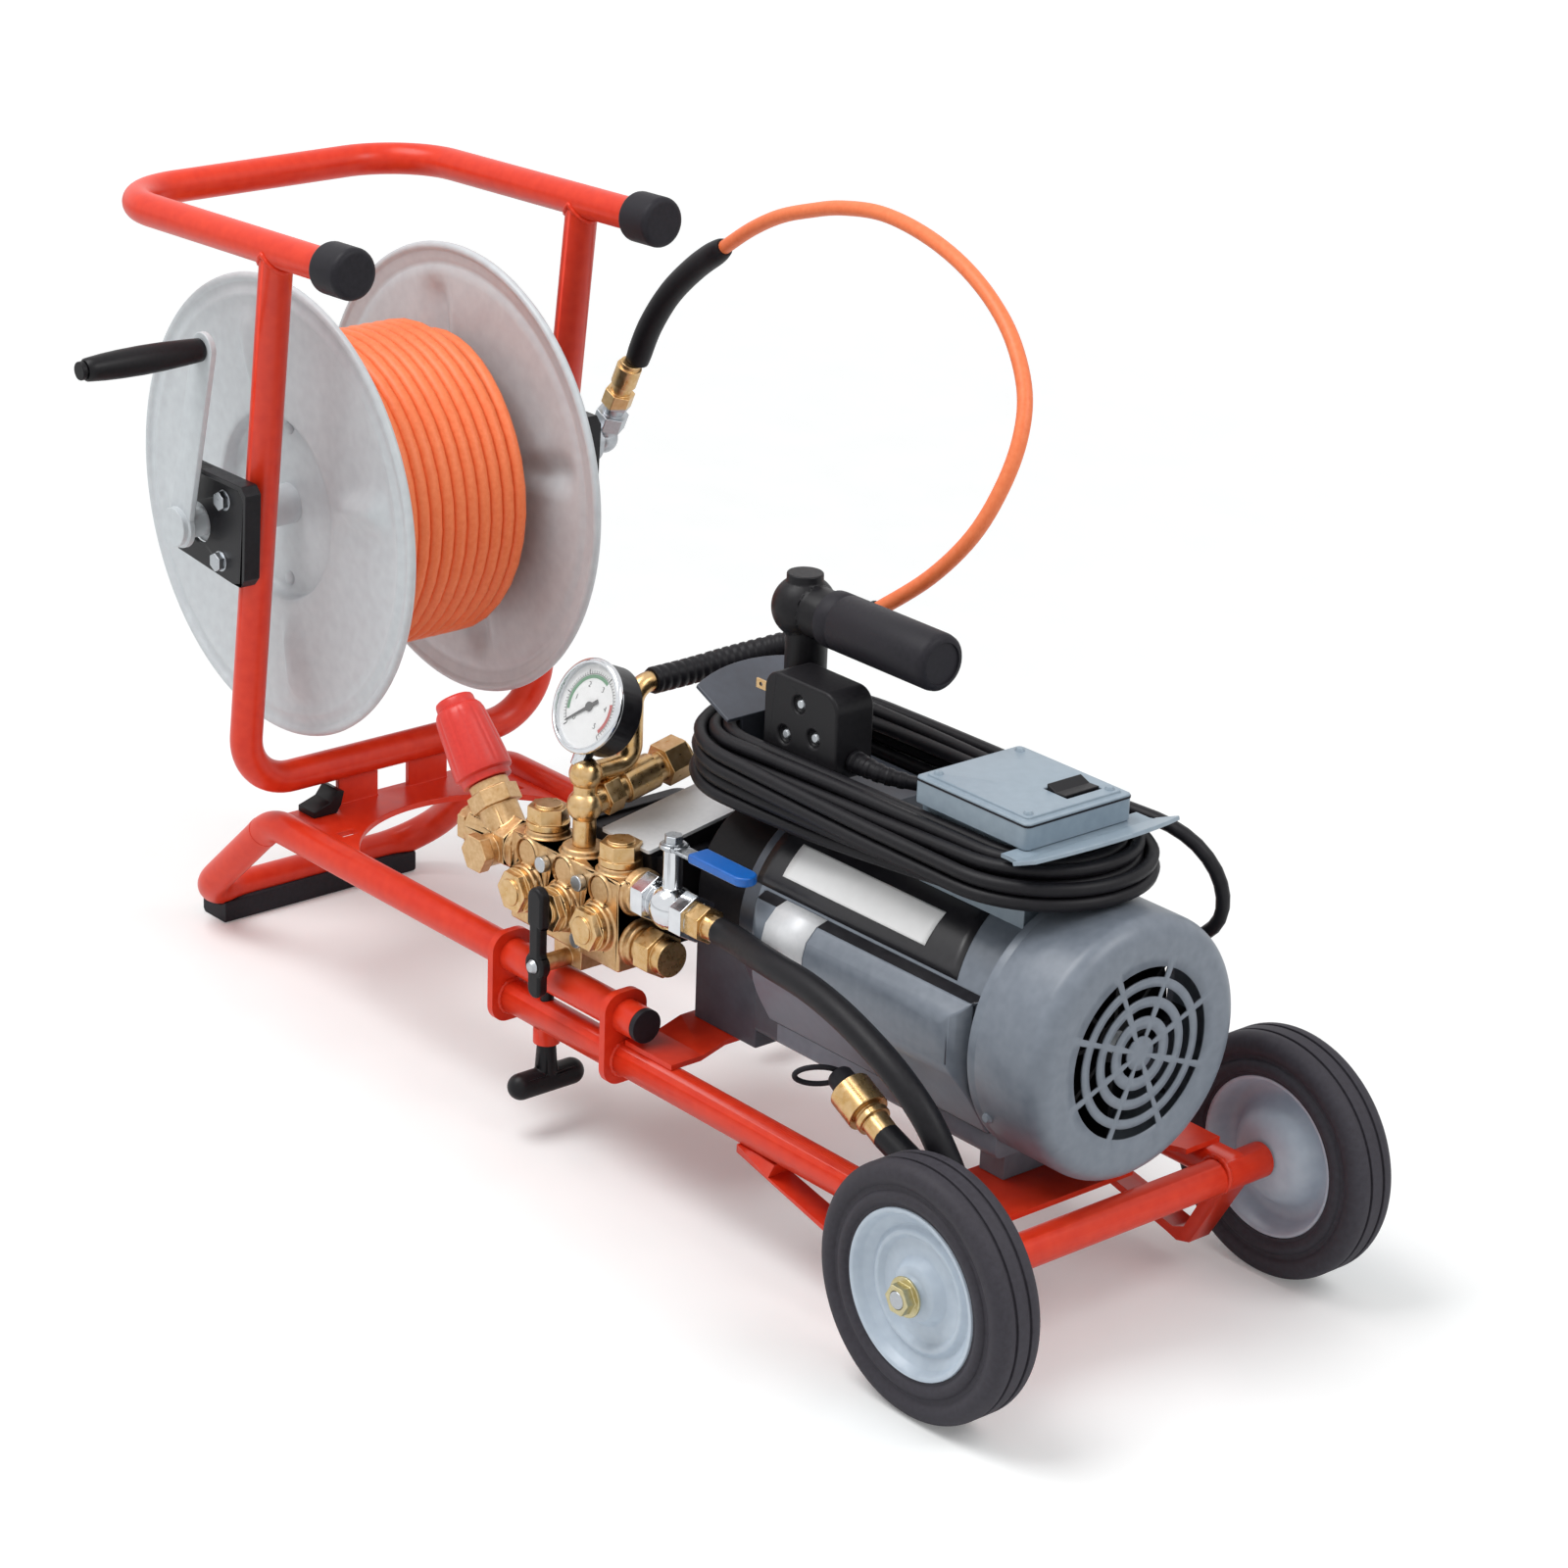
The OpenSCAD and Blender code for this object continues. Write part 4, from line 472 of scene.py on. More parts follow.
# Front foot, tube plugs and handle caps: black rubber, compression moulded with a matt skin.
# The two caps are pushed over the open ends of the handle.
rubber = finish("moulded_black_rubber", 3, "#1A191E", "#28262C", (0.42, 0.6), 0.08, strength=0.3,
                IOR=1.5, Specular_IOR_Level=0.2)
fair_copy("rubber_foot", "foot_pad", rubber, "front_section", 1.2)
fair_copy("handle_caps_and_plugs", "end_caps", rubber, "front_section", 0.5)

# Wheels: solid rubber tyres with two grooves, pressed over rims of two steel halves that are stove
# enamelled silver blue. They turn on a plain zinc plated axle between nuts passivated to a pale yellow.
# Tyre rubber is dusty and nearly without gloss, the enamel smooth, and the zinc faintly clouded.
tyre = finish("solid_tyre_rubber", 4, "#322F35", "#424047", (0.55, 0.75), 0.12,
              IOR=1.5, Specular_IOR_Level=0.25)
stove = finish("silver_blue_stove_enamel", 8, "#B4C1CF", "#C1CDD9", (0.28, 0.36), 0.02, detail=1.0,
               strength=0.08, IOR=1.5)
bright = finish("bright_zinc_plate", 2, "#A9ADB2", "#C0C4C8", (0.24, 0.4), 0.03, strength=0.25, Metallic=1.0)
passivated = finish("yellow_passivated_zinc", 2.5, "#B8AC7C", "#CFC7A4", (0.26, 0.4), 0.03, strength=0.25,
                    Metallic=1.0)
for side in ("near", "far"):
    fair_copy(side + "_tyre_rubber", "tyre_" + side, tyre, side + "_wheel", 0.6)
fair_copy("axle_bar", "axle_rod", bright, "cart", 1.2)
fair_copy("axle_nuts_and_washers", "axle_nuts", passivated, "cart", 0.6)

# Clamp screws and latch: a steel screw moulded into a black nylon tee, and a bent spring latch.
# Nylon comes from its tool with a fine satin skin, deep black with a small highlight.
nylon = finish("moulded_black_nylon", 3, "#100F12", "#1A191C", (0.34, 0.48), 0.05, strength=0.25,
               IOR=1.53, Specular_IOR_Level=0.2)
for side in ("near", "far"):
    fair_copy(side + "_tee_screw", "clamp_knob_" + side, nylon, side + "_clamp_screw", 0.8)
fair_copy("plate_latch", "reel_latch", nylon, "front_section", 0.6)

# Reel bearings: folded steel plates, black stove enamelled, each held to its upright by two zinc
# plated hexagon bolts on washers. The enamel is smooth, with a dull gloss.
satin = finish("black_stove_enamel", 5, "#131215", "#1D1C20", (0.28, 0.42), 0.05, detail=1.5, strength=0.25,
               IOR=1.5, Specular_IOR_Level=0.28)
fair_copy("bearing_plates", "reel_brackets", satin, "front_section", 0.6)


def aimed(place, direction):
    """The matrix that turns a form's Z to a direction and takes it to its place."""
    turned_to = Vector((0, 0, 1)).rotation_difference(Vector(direction)).to_matrix().to_4x4()
    return Matrix.Translation(place) @ turned_to


def fasteners(name, places, along, flats, height, material, body, round_head=False):
    """Identical screw heads at several places, their tops towards one direction: hexagons over
    washers, or pan heads."""
    corner_r, washer_thick, sharp = flats / 2 / math.cos(math.pi / 6), 0.0014, 30
    form = bmesh.new()
    for place in places:
        head = bmesh.ops.create_cone(
            form, cap_ends=True, segments=24 if round_head else 6, depth=height,
            radius1=flats / 2 if round_head else corner_r,
            radius2=flats * 0.32 if round_head else corner_r)["verts"]
        bmesh.ops.translate(form, verts=head, vec=(0, 0, height / 2))
        if not round_head:
            head += bmesh.ops.create_cone(form, cap_ends=True, segments=28, radius1=flats * 0.62,
                                          radius2=flats * 0.62, depth=washer_thick)["verts"]
        bmesh.ops.transform(form, verts=head, matrix=aimed(place, along))
    return break_edges(placed(name, form, Matrix.Identity(4), [material], body, sharp), 0.5, sharp)


bearing_y, reel_x, reel_z = 0.15815, 0.082, 0.373
for side, name in ((-1, "near_bearing_bolts"), (1, "far_bearing_bolts")):
    places = [(reel_x + fore, side * bearing_y, reel_z + up)
              for fore, up in ((0.036, 0.027), (0.030, -0.023))]
    fasteners(name, places, (0, side, 0), 0.013, 0.0056, bright, "front_section")

# Rims: two pressed steel halves welded together, with a rolled lip, two ring beads outside
# and a domed hub in a deep ring inside. The tyres are pressed over them.


def turned(outline_mm, steps=96):
    """A round form: an outline of (radius, height) points spun about Z, its poles closed."""
    form = bmesh.new()
    ring = [form.verts.new((r / 1000, 0, h / 1000)) for r, h in outline_mm]
    for a, b in zip(ring, ring[1:]):
        form.edges.new((a, b))
    bmesh.ops.spin(form, geom=form.verts[:] + form.edges[:], cent=(0, 0, 0), axis=(0, 0, 1),
                   angle=2 * math.pi, steps=steps, use_merge=True)
    bmesh.ops.remove_doubles(form, verts=form.verts, dist=2e-6)
    bmesh.ops.recalc_face_normals(form, faces=form.faces)
    return form


def turned_by(place, degrees, axis):
    """The matrix that turns a form about one axis and takes it to its place."""
    return Matrix.Translation(place) @ Matrix.Rotation(math.radians(degrees), 4, axis)


axle_z = 0.0889
rim_line = [
    (6.4, 184), (10.6, 184), (11.2, 183.4), (12.8, 180.6), (14, 179.9), (18.2, 178.4), (19.4, 177.6),
    (23.2, 171.8), (24.4, 171), (35, 171), (36, 171.5), (38, 174.6), (39, 175.2), (41, 175.2), (42, 174.6),
    (44, 172.3), (45.5, 172), (51.6, 175.5), (52.8, 176.8), (54.8, 181.4), (56, 182.2), (58, 182.2),
    (58.5, 181.6), (58.5, 150.4), (58, 149.8), (56.6, 149.8), (55.4, 150.6), (52.4, 160), (50.6, 165.5),
    (48, 167.5), (43, 167.5), (39.6, 165), (35.6, 158), (31, 152.6), (26, 149.4), (20, 147.4), (13.6, 146.4),
    (12.8, 146.2), (6.4, 146.2), (6.4, 184)]
for side, name in ((-1, "near"), (1, "far")):
    placed(name + "_pressed_rim", turned(rim_line), turned_by((axle_x, 0, axle_z), -90 * side, "X"), [stove],
           name + "_wheel", 40, ["rim_" + name])

# Reel flanges: discs of 2 mm sheet steel, each pressed with a well at the hub, four radial pleats,
# a bead and a rolled edge, bolted to the axle pipe and enamelled light grey. The baked enamel is
# smooth and even, and shows the pleats as faint broad shadows.
grey = finish("light_grey_enamel", 9, "#C1C6CA", "#CDD3D6", (0.32, 0.42), 0.02,
              detail=1.0, strength=0.08, IOR=1.5)
flange_y, half_sheet, pleat_high, pleat_half = 0.0873, 0.9, 0.009, 8
hub_bolts, bolt_ring, bolt_r = 4, 0.061, 0.0055
hub_well = [(15.8, -14), (68, -14), (71, -13.2), (72.5, -11), (73.5, -1.6), (75, -0.4), (78, 0), (84, 0)]
pleated = [(r, 0) for r in range(90, 155, 8)]
bead = [(159, 0.2), (162, 1.4), (164, 1.9), (166, 1.4), (169, 0.2), (173.5, -0.2)]
sheet_line = hub_well + pleated + bead
roll_r = 3.5
edge_roll = [(178 + roll_r * math.cos(a), roll_r * math.sin(a))
             for a in (math.radians(v) for v in range(150, -151, -30))]
outer_side = [(r, h + half_sheet) for r, h in sheet_line]
inner_side = [(r, h - half_sheet) for r, h in sheet_line[::-1]]
for side, name in ((-1, "near_flange"), (1, "far_flange")):
    form = turned(outer_side + edge_roll + inner_side + outer_side[:1], 144)
    for vert in form.verts:
        reach, angle = math.hypot(vert.co.x, vert.co.y), math.atan2(vert.co.y, vert.co.x)
        swell = eased((reach - 0.080) / 0.03) * eased((0.158 - reach) / 0.02)
        off_fold = abs((math.degrees(angle) - side * 77 + 45) % 90 - 45)
        vert.co.z += pleat_high * swell * max(0.0, 1 - off_fold / pleat_half)
    for k in range(hub_bolts):
        head = bmesh.ops.create_uvsphere(form, u_segments=16, v_segments=10, radius=bolt_r)["verts"]
        bmesh.ops.scale(form, verts=head, vec=(1, 1, 0.55))
        angle = 2 * math.pi * k / hub_bolts
        bmesh.ops.translate(form, verts=head,
                            vec=(bolt_ring * math.cos(angle), bolt_ring * math.sin(angle), -0.013))
    placed(name, form, turned_by((reel_x, side * flange_y, reel_z), -90 * side, "X"), [grey], "reel",
           50, ["reel_flanges"])

# Drum and axle: a rolled steel tube between the flanges, zinc plated, and the axle pipe that runs
# out through their wells to both bearings, where it is turned down. The pipe is enamelled grey.
ends = [corner[1] * 1000 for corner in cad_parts["reel_drum"].bound_box]
low_end, high_end = min(ends), max(ends)
along_y = turned_by((reel_x, 0, reel_z), -90, "X")
pipe = turned([(0, low_end), (10.4, low_end), (11, low_end + 0.6), (11, -153.6), (15.6, -153.6), (16, -153.2),
               (16, 153.2), (15.6, 153.6), (11, 153.6), (11, high_end), (0, high_end)], 64)
placed("axle_pipe", pipe, along_y, [grey], "reel", 32, ["reel_drum"])
drum = turned([(79, -85.8), (80, -85.2), (80, 85.2), (79, 85.8), (77.5, 85.8), (77.5, -85.8), (79, -85.8)])
placed("drum_tube", drum, along_y, [bright], "reel", 32, ["reel_drum"])

# Wound hose: 32 m of the same orange hose in four layers of twelve turns, laid edge to edge
# by hand. Its free end drops beside the far flange and ends in a crimped brass coupling.
layer_r, turns_wide, turn_steps, cross_steps = (0.0861, 0.0975, 0.1089, 0.1203), 12, 36, 18
near_column, far_column = -0.0797, 0.0571
reel_points = []
angle = math.radians(200)


def round_reel(a, radius, y):
    """A point round the reel's axis."""
    return Vector((reel_x + radius * math.cos(a), y, reel_z + radius * math.sin(a)))


for layer, radius in enumerate(layer_r):
    start, stop = (far_column, near_column) if layer % 2 == 0 else (near_column, far_column)
    for step in range(turns_wide * turn_steps + 1):
        share = step / (turns_wide * turn_steps)
        reel_points.append(round_reel(angle + 2 * math.pi * turns_wide * share, radius,
                                      start + (stop - start) * share))
    angle += 2 * math.pi * turns_wide
    if layer < len(layer_r) - 1:
        for step in range(1, cross_steps):
            share = step / cross_steps
            climbing = radius + (layer_r[layer + 1] - radius) * eased(share)
            reel_points.append(round_reel(angle + math.pi * share, climbing, stop))
        angle += math.pi
last_way, last_drop, last_shift, last_steps = math.radians(250), 0.0338, 0.0165, 30
for step in range(1, last_steps + 1):
    share = step / last_steps
    reel_points.append(round_reel(angle + last_way * share, layer_r[-1] - last_drop * eased(share * 1.15),
                                  far_column + last_shift * eased(share * 2.2)))
wound_line = laid("wound_hose_on_drum", [reel_points], jet_hose, jacket, "reel", "hose_jacket", 4)
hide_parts("wound_hose")

# Turned and forged brass: cut faces are bright with fine tool marks, forged ones duller and slightly
# pitted. The ferrule crimped on the hose's free end is turned.
turned_brass = finish("turned_brass", 5, "#C49C62", "#DDBE92", (0.24, 0.36), 0.02, detail=1.5, strength=0.1,
                      Metallic=1.0)
forged_brass = finish("forged_brass", 3, "#B98E5A", "#DABB92", (0.34, 0.5), 0.08, strength=0.3, Metallic=1.0)
end_at, end_from = reel_points[-1], reel_points[-2]
ferrule = turned([(0, -2), (6.6, -2), (6.9, 0), (6.9, 16), (6.2, 16.8), (6.2, 19), (7.5, 19.5), (7.5, 31),
                  (6.6, 32), (5.4, 32), (5.4, 26), (0, 26)], 40)
hose_end = placed("hose_end_coupling", ferrule, aimed(end_at, end_at - end_from), [turned_brass],
                  "reel")

# Crank: a flat steel arm on the axle, enamelled with the reel, with a turned pin for the loose
# barrel grip of black nylon. The pin's end is capped in black.
fair_copy("crank_bar_and_pin", "crank_arm", grey, "reel", 0.8,
          second=(nylon, lambda middle: middle.y < -0.2764))
barrel = turned([(4.9, 0), (7.8, 0), (8.8, 1.2), (9.2, 6), (9.9, 18), (10.7, 34), (11, 52), (10.7, 70),
                 (10, 84), (9.2, 93), (8.6, 98.5), (7.4, 99.9), (4.9, 99.9), (4.9, 0)], 48)
placed("barrel_grip", barrel, turned_by((0.11725, -0.17645, 0.5198), 90, "X"), [nylon], "reel_grip",
       40, ["crank_grip"])

# Swivel: a plated steel housing on the axle's far end, and a brass elbow that the hose starts from.
# The housing stands still on the turning axle, and the elbow is screwed into it.
swivel_top = 0.404
fair_copy("swivel_joint", "swivel", turned_brass, "front_section", 0.6, cut=("z", swivel_top),
          second=(bright, lambda middle: middle.z < swivel_top))

# Motor: a rolled steel shell with pressed ends, sprayed blue-grey, and darker at the drive end.
# The fan cover is a pressing with four rings of vents, and a sheet cover hides the capacitor.
# Air-dried enamel is even, with a soft gloss. Black vinyl film covers the top of the sheet cover.
spray = finish("blue_grey_machine_enamel", 8, "#6F7782", "#7D8590", (0.32, 0.42), 0.02,
               detail=1.0, strength=0.1, IOR=1.5)
# The dark slate is also painted shade: on the cord posts' front wing it stands in for the shadow on its inner
# side.
slate_and_shade = finish("dark_slate_and_painted_shade", 7, "#42464F", "#4D525C", (0.34, 0.46), 0.05,
               detail=1.5, strength=0.25, IOR=1.5)
film = finish("black_vinyl_film", 6, "#17161A", "#201F24", (0.3, 0.4), 0.02,
              detail=1.5, strength=0.15, IOR=1.5)
shell_joint, base_joint, cover_fold = 0.652, 0.662, 0.2452
# In front of their joint lines, at the drive end, the shell and the box base take the darker slate.
fair_copy("motor_barrel", "motor_shell", spray, "cart", 1.2, cut=("x", shell_joint),
          second=(slate_and_shade, lambda middle: middle.x < shell_joint))
slots = ((12, 17.5), (26, 32.5), (39.5, 46.5), (53, 60.5))
half_spoke, cover_face, cover_skirt, corner_r = 1.9, 66, 93.4, 14
cover_line = [(r, cover_face) for r in (0, 6, 12, 17.5, 22, 26, 32.5, 36, 39.5, 46.5, 50, 53, 60.5, 70)]
cover_line += [(cover_skirt - corner_r * (1 - math.sin(a)), cover_face - corner_r * (1 - math.cos(a)))
               for a in (math.radians(v) for v in range(0, 91, 9))]
cover_line += [(cover_skirt, 30), (cover_skirt, 9), (92.9, 7.4), (92.9, 6.2), (cover_skirt, 4.6),
               (cover_skirt, 0.5), (92.6, 0)]
form = turned(cover_line, 160)
if max(form.faces, key=lambda face: face.calc_center_median().z).normal.z < 0:
    bmesh.ops.reverse_faces(form, faces=form.faces)
cut_out = []
for face in form.faces:
    middle = face.calc_center_median() * 1000
    reach = math.hypot(middle.x, middle.y)
    off_spoke = math.radians(abs(math.degrees(math.atan2(middle.y, middle.x)) % 45 - 22.5))
    between_spokes = middle.z > cover_face - 0.5 and reach * off_spoke > half_spoke
    if between_spokes and any(a < reach < b for a, b in slots):
        cut_out.append(face)
bmesh.ops.delete(form, geom=cut_out, context="FACES")


def thicken(piece, name, thickness, offset):
    """Gives a sheet its wall."""
    wall = piece.modifiers.new(name, "SOLIDIFY")
    wall.thickness, wall.offset = thickness, offset
    return piece


fan_cover = placed("pressed_fan_cover", form, turned_by((0.885, 0, shaft_z), 90, "Y"), [spray], "cart",
                   40, ["fan_cover"])
thicken(fan_cover, "sheet_thickness", 0.0014, -1.0)
fair_copy("sheet_capacitor_cover", "capacitor_cover", spray, "cart", 1.4,
          cut=("z", cover_fold), second=(film, lambda middle: middle.z > cover_fold and middle.x < 0.868))
fair_copy("box_base", "motor_base", spray, "cart", 1.0, cut=("x", base_joint),
          second=(slate_and_shade, lambda middle: middle.x < base_joint))
for name, made_of in (("stator", bright), ("motor_rotor", bright), ("cooling_fan", nylon)):
    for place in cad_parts[name].material_slots:
        place.material = made_of

# Band and plates on the motor: black vinyl film rolled on the near shoulder of the shell, with a
# white plate and a small aluminium one, both left bare. Vinyl film is smoother than the enamel, and
# the brushed foil has fine lines that blur to a soft pale sheen.
plain_film = finish("white_vinyl_film", 12, "#F0F0F0", "#F7F7F7", (0.34, 0.42), 0.02, strength=0.15, IOR=1.5)
foil = finish("brushed_aluminium_foil", 4, "#DDDFE2", "#E9EAEC", (0.38, 0.48), 0.02,
              strength=0.1, Metallic=0.1)


def wrapped_film(name, material, x_range, degrees, radius, lean=0.0):
    """A film on the shell between two heights, given as angles up from the near side."""
    form = bmesh.new()
    grid = bmesh.ops.create_grid(form, x_segments=24, y_segments=16, size=0.5)["verts"]
    for vert in grid:
        up = vert.co.y + 0.5
        a = math.radians(degrees[0] + (degrees[1] - degrees[0]) * up)
        x = x_range[0] + (x_range[1] - x_range[0]) * (vert.co.x + 0.5) - lean * up * (vert.co.x + 0.5)
        vert.co = Vector((x, -radius * math.cos(a), shaft_z + radius * math.sin(a)))
    bmesh.ops.recalc_face_normals(form, faces=form.faces)
    piece = placed(name, form, Matrix.Identity(4), [material], "cart")
    if sum(p.normal.y for p in piece.data.polygons) > 0:
        piece.data.flip_normals()
    thicken(piece, "film_thickness", 0.0003, 1.0)


wrapped_film("black_shoulder_band", film, (0.645, 0.850), (25.5, 96), 0.0801, 0.016)
wrapped_film("blank_white_plate", plain_film, (0.667, 0.812), (33.6, 52.6), 0.0805)
plate_fore, plate_wide = 0.681, 0.042
plate_line = [(-0.0962, 0.216), (-0.0962, 0.226), (-0.0932, 0.2362), (-0.0841, 0.2453), (-0.0745, 0.2479)]
form = bmesh.new()
strip = [form.verts.new((0, y, z)) for y, z in plate_line]
for a, b in zip(strip, strip[1:]):
    form.edges.new((a, b))
pulled = bmesh.ops.extrude_edge_only(form, edges=form.edges[:])["geom"]
pulled_line = [v for v in pulled if isinstance(v, bmesh.types.BMVert)]
bmesh.ops.translate(form, verts=pulled_line, vec=(plate_wide, 0, 0))
bmesh.ops.recalc_face_normals(form, faces=form.faces)
small_plate = placed("blank_small_plate", form, Matrix.Translation((plate_fore, 0, 0)), [foil],
                     "cart", 60)
if small_plate.data.polygons[0].normal.y > 0:
    small_plate.data.flip_normals()
thicken(small_plate, "foil_thickness", 0.0004, 1.0)

# Fan cover screws: two pan heads that hold the cover's skirt to the shell.
# They were sprayed with the motor, so that they have its colour.
skirt_r, screw_flats = 0.0934, 0.009
places = [(0.897, -skirt_r * math.cos(a), shaft_z + skirt_r * math.sin(a))
          for a in (math.radians(v) for v in (-28, 208))]
fasteners("shell_screws", places, (0, -1, 0), screw_flats, 0.003, spray, "cart", True)

# Cord posts and switch box: folded 3 mm sheet, the front wing darkened with painted shade, the box lid
# in a paler coat over a black gasket whose edge also stands in as painted shadow lines, with four screws in
# its corners.
pale = finish("pale_blue_grey_enamel", 8, "#8595A2", "#93A2AE", (0.3, 0.4), 0.04,
              detail=1.5, strength=0.2, IOR=1.5)
# In front of x 0.74 the front wing takes the dark slate as painted shade, for its inner side that lies in
# shadow.
fair_copy("cord_posts", "wrap_bracket", pale, "cart", 0.7,
          second=(slate_and_shade, lambda middle: middle.x < 0.74))
fair_copy("sheet_switch_box", "switch_box", pale, "cart", 1.0)


def cut_panel(size, corner, segments):
    """A flat piece of sheet or rubber with rounded corners."""
    form = bmesh.new()
    bmesh.ops.create_cube(form, size=1)
    bmesh.ops.scale(form, verts=form.verts, vec=size)
    upright = [e for e in form.edges if abs(e.verts[0].co.z - e.verts[1].co.z) > 0.001]
    bmesh.ops.bevel(form, geom=upright, offset=corner, segments=segments, profile=0.5,
                    affect="EDGES", material=-1)
    return form


box_middle, box_top = 0.828, 0.3648
# The gasket's black edge round the lid is partly painted shadow: it stands in for the shadow lines under the
# lid's edges.
placed("box_gasket_and_painted_shadow", cut_panel((0.1086, 0.0966, 0.0014), 0.004, 6),
       Matrix.Translation((box_middle, 0, box_top - 0.0022)), [rubber], "cart")
corners = [(box_middle + x, y, box_top + 0.0018) for x in (-0.043, 0.043) for y in (-0.037, 0.037)]
fasteners("box_screws", corners, (0, 0, 1), 0.0075, 0.0022, pale, "cart", True)
fair_copy("rocker_cap", "switch_rocker", nylon, "rocker", 0.8)

# Carrying grip: a moulded black arm bolted to the front post, and a rubber sleeve on its tube.
# The sleeve is pushed on, with a collar, a groove and a rounded end.
fair_copy("grip_arm", "carry_arm", nylon, "cart", 1.2, steps=3)
grip_sleeve = turned([(9.1, 0.4), (18, 0), (20.3, 1.4), (20.5, 4), (20.5, 12), (19.9, 12.8), (19.9, 14.2),
                      (20.5, 15), (20.5, 106), (19.8, 109.5), (17.6, 111.8), (15, 112.2),
                      (14.6, 110.8), (0, 110.6)], 64)
placed("rubber_grip_sleeve", grip_sleeve, turned_by((0.6323, 0, 0.424), 90, "Y"), [rubber], "cart",
       40, ["carry_grip"])

# Ground fault plug: a boxy black nylon plug held shut by three screws, stowed on the wound cord.
# Its two brass blades point forward.
plug_housing = fair_copy("plug_housing", "ground_fault_plug", nylon, "cart", 2.4, steps=4)
places = [(0.656 + x, -0.0438, 0.361 + z)
          for x, z in ((-0.002, 0.016), (0.014, -0.004), (-0.016, -0.010))]
fasteners("plug_screws", places, (0, -1, 0), 0.0088, 0.0024, bright, "cart", True)
plug_pins = fair_copy("plug_pins", "plug_blades", turned_brass, "cart", 0.3)

# Strain reliefs of the power cord: moulded rubber, tapered over 36 mm, where it enters the motor
# and the plug. The plug's one is grooved six times, so that it bends evenly.
relief_long = 0.036


def first_part(points, length):
    """The points of a line up to a length along it."""
    kept = [points[0]]
    while run(kept) < length:
        kept.append(points[len(kept)])
    return kept


motor_gland = laid(
    "motor_cord_gland", [smooth_route(first_part(cord_points[::-1], relief_long), 6)], 0.018, guard_rubber,
    "cart", "black_rubber", guard_rounding, lambda share, k: 1.0 - 0.38 * share)
plug_guard = laid(
    "plug_bend_guard", [smooth_route(first_part(cord_points, relief_long), 14)], 0.017, guard_rubber,
    "cart", "black_rubber", guard_rounding, lambda share, k: (1.0 - 0.34 * share) * ribbed(share, 6, 0.09))

# Pump: a ribbed crankcase and a flange housing, die cast in aluminium and enamelled black, which
# keeps a fine grain of the casting under a dull gloss. A bare aluminium plate is fixed on the
# crankcase's sloped top.
cast = finish("black_die_casting", 3, "#131215", "#1F1E21", (0.4, 0.54), 0.08, strength=0.25,
              IOR=1.5, Specular_IOR_Level=0.2)
housing_foot = 0.194
fair_copy("ribbed_crankcase", "crankcase", cast, "cart", 1.0)
fair_copy("flange_housing", "pump_adapter", cast, "cart", 1.2, cut=("z", housing_foot),
          second=(slate_and_shade, lambda middle: middle.z < housing_foot))
sloped = turned_by((0.521, -0.0425, 0.2492), 9.4, "X")
for name, size, drop, made_of, slot in (("bare_top_plate", (0.054, 0.094, 0.0026), 0, foil, "zinc"),
                                        ("plate_bed", (0.050, 0.090, 0.0160), -0.0088, cast, "black_steel")):
    placed(name, cut_panel(size, 0.002, 3), sloped @ Matrix.Translation((0, 0, drop)), [made_of],
           "cart")

# Valve head: one brass forging, drilled and bossed, held by four zinc plated cap screws.
# Hexagon caps close its valves, and the outlet stack is screwed into its top.
for name, node, made_of, slot, edge_mm, steps in (
        ("forged_valve_head", "manifold", forged_brass, "brass", 2.2, 3),
        ("hexagon_valve_caps", "valve_caps", turned_brass, "brass", 0.7, 2),
        ("head_screws", "pump_bolts", bright, "zinc", 0.8, 2),
        ("outlet_stack", "outlet_fittings", turned_brass, "brass", 0.6, 2),
        ("unloader_housing", "unloader_body", forged_brass, "brass", 0.9, 2)):
    fair_copy(name, node, made_of, "cart", edge_mm, steps=steps)

# Pressure knob: red ABS, moulded with twelve shallow flutes and a stepped crown.
# It screws on the unloader's stem. ABS leaves its tool smooth, with a soft gloss.
moulded_red = finish("moulded_red_abs", 3, "#D22A22", "#DE362A", (0.32, 0.42), 0.03, detail=1.5, strength=0.2,
                     IOR=1.53)
stem_lean, flutes = 40, 12
knob_axis = Vector((-math.sin(math.radians(stem_lean)), 0, math.cos(math.radians(stem_lean))))
knob_at = Vector((0.398, -0.098, 0.208)) + knob_axis * 0.0423
knob = turned([(6.1, 0), (18.8, 0), (19, 1), (19, 5), (21.8, 6.5), (22, 8), (21.9, 14), (21.5, 22),
               (20.9, 30), (20.3, 38), (19.7, 46), (19, 53), (17.8, 57), (16, 59.5), (15, 60), (14.8, 64.5),
               (14, 66.4), (12, 67.5), (6, 67.9), (0, 67.9)], 120)
for vert in knob.verts:
    reach = math.hypot(vert.co.x, vert.co.y)
    flute = eased((vert.co.z - 0.008) / 0.008) * eased((0.058 - vert.co.z) / 0.004)
    if reach > 0.012 and flute > 0:
        dip = 1 - 0.035 * flute * max(0.0, math.cos(flutes * math.atan2(vert.co.y, vert.co.x))) ** 3
        vert.co.x *= dip
        vert.co.y *= dip
placed("fluted_pressure_knob", knob, turned_by(knob_at, -stem_lean, "Y"), [moulded_red], "pressure_knob",
       40, ["unloader_knob"])

# Pulse valve: a brass body under the head, and its waisted black lever on a square spindle.
# A round-headed screw holds the nylon lever.
fair_copy("pulse_valve_block", "pulse_valve", forged_brass, "cart", 0.8)
fair_copy("waisted_lever", "pulse_lever", nylon, "pulse_handle", 2.6, steps=4)
fasteners("lever_screw", [(0.487, -0.1432, 0.146)], (0, -1, 0), 0.011, 0.0034, bright, "pulse_handle",
          True)

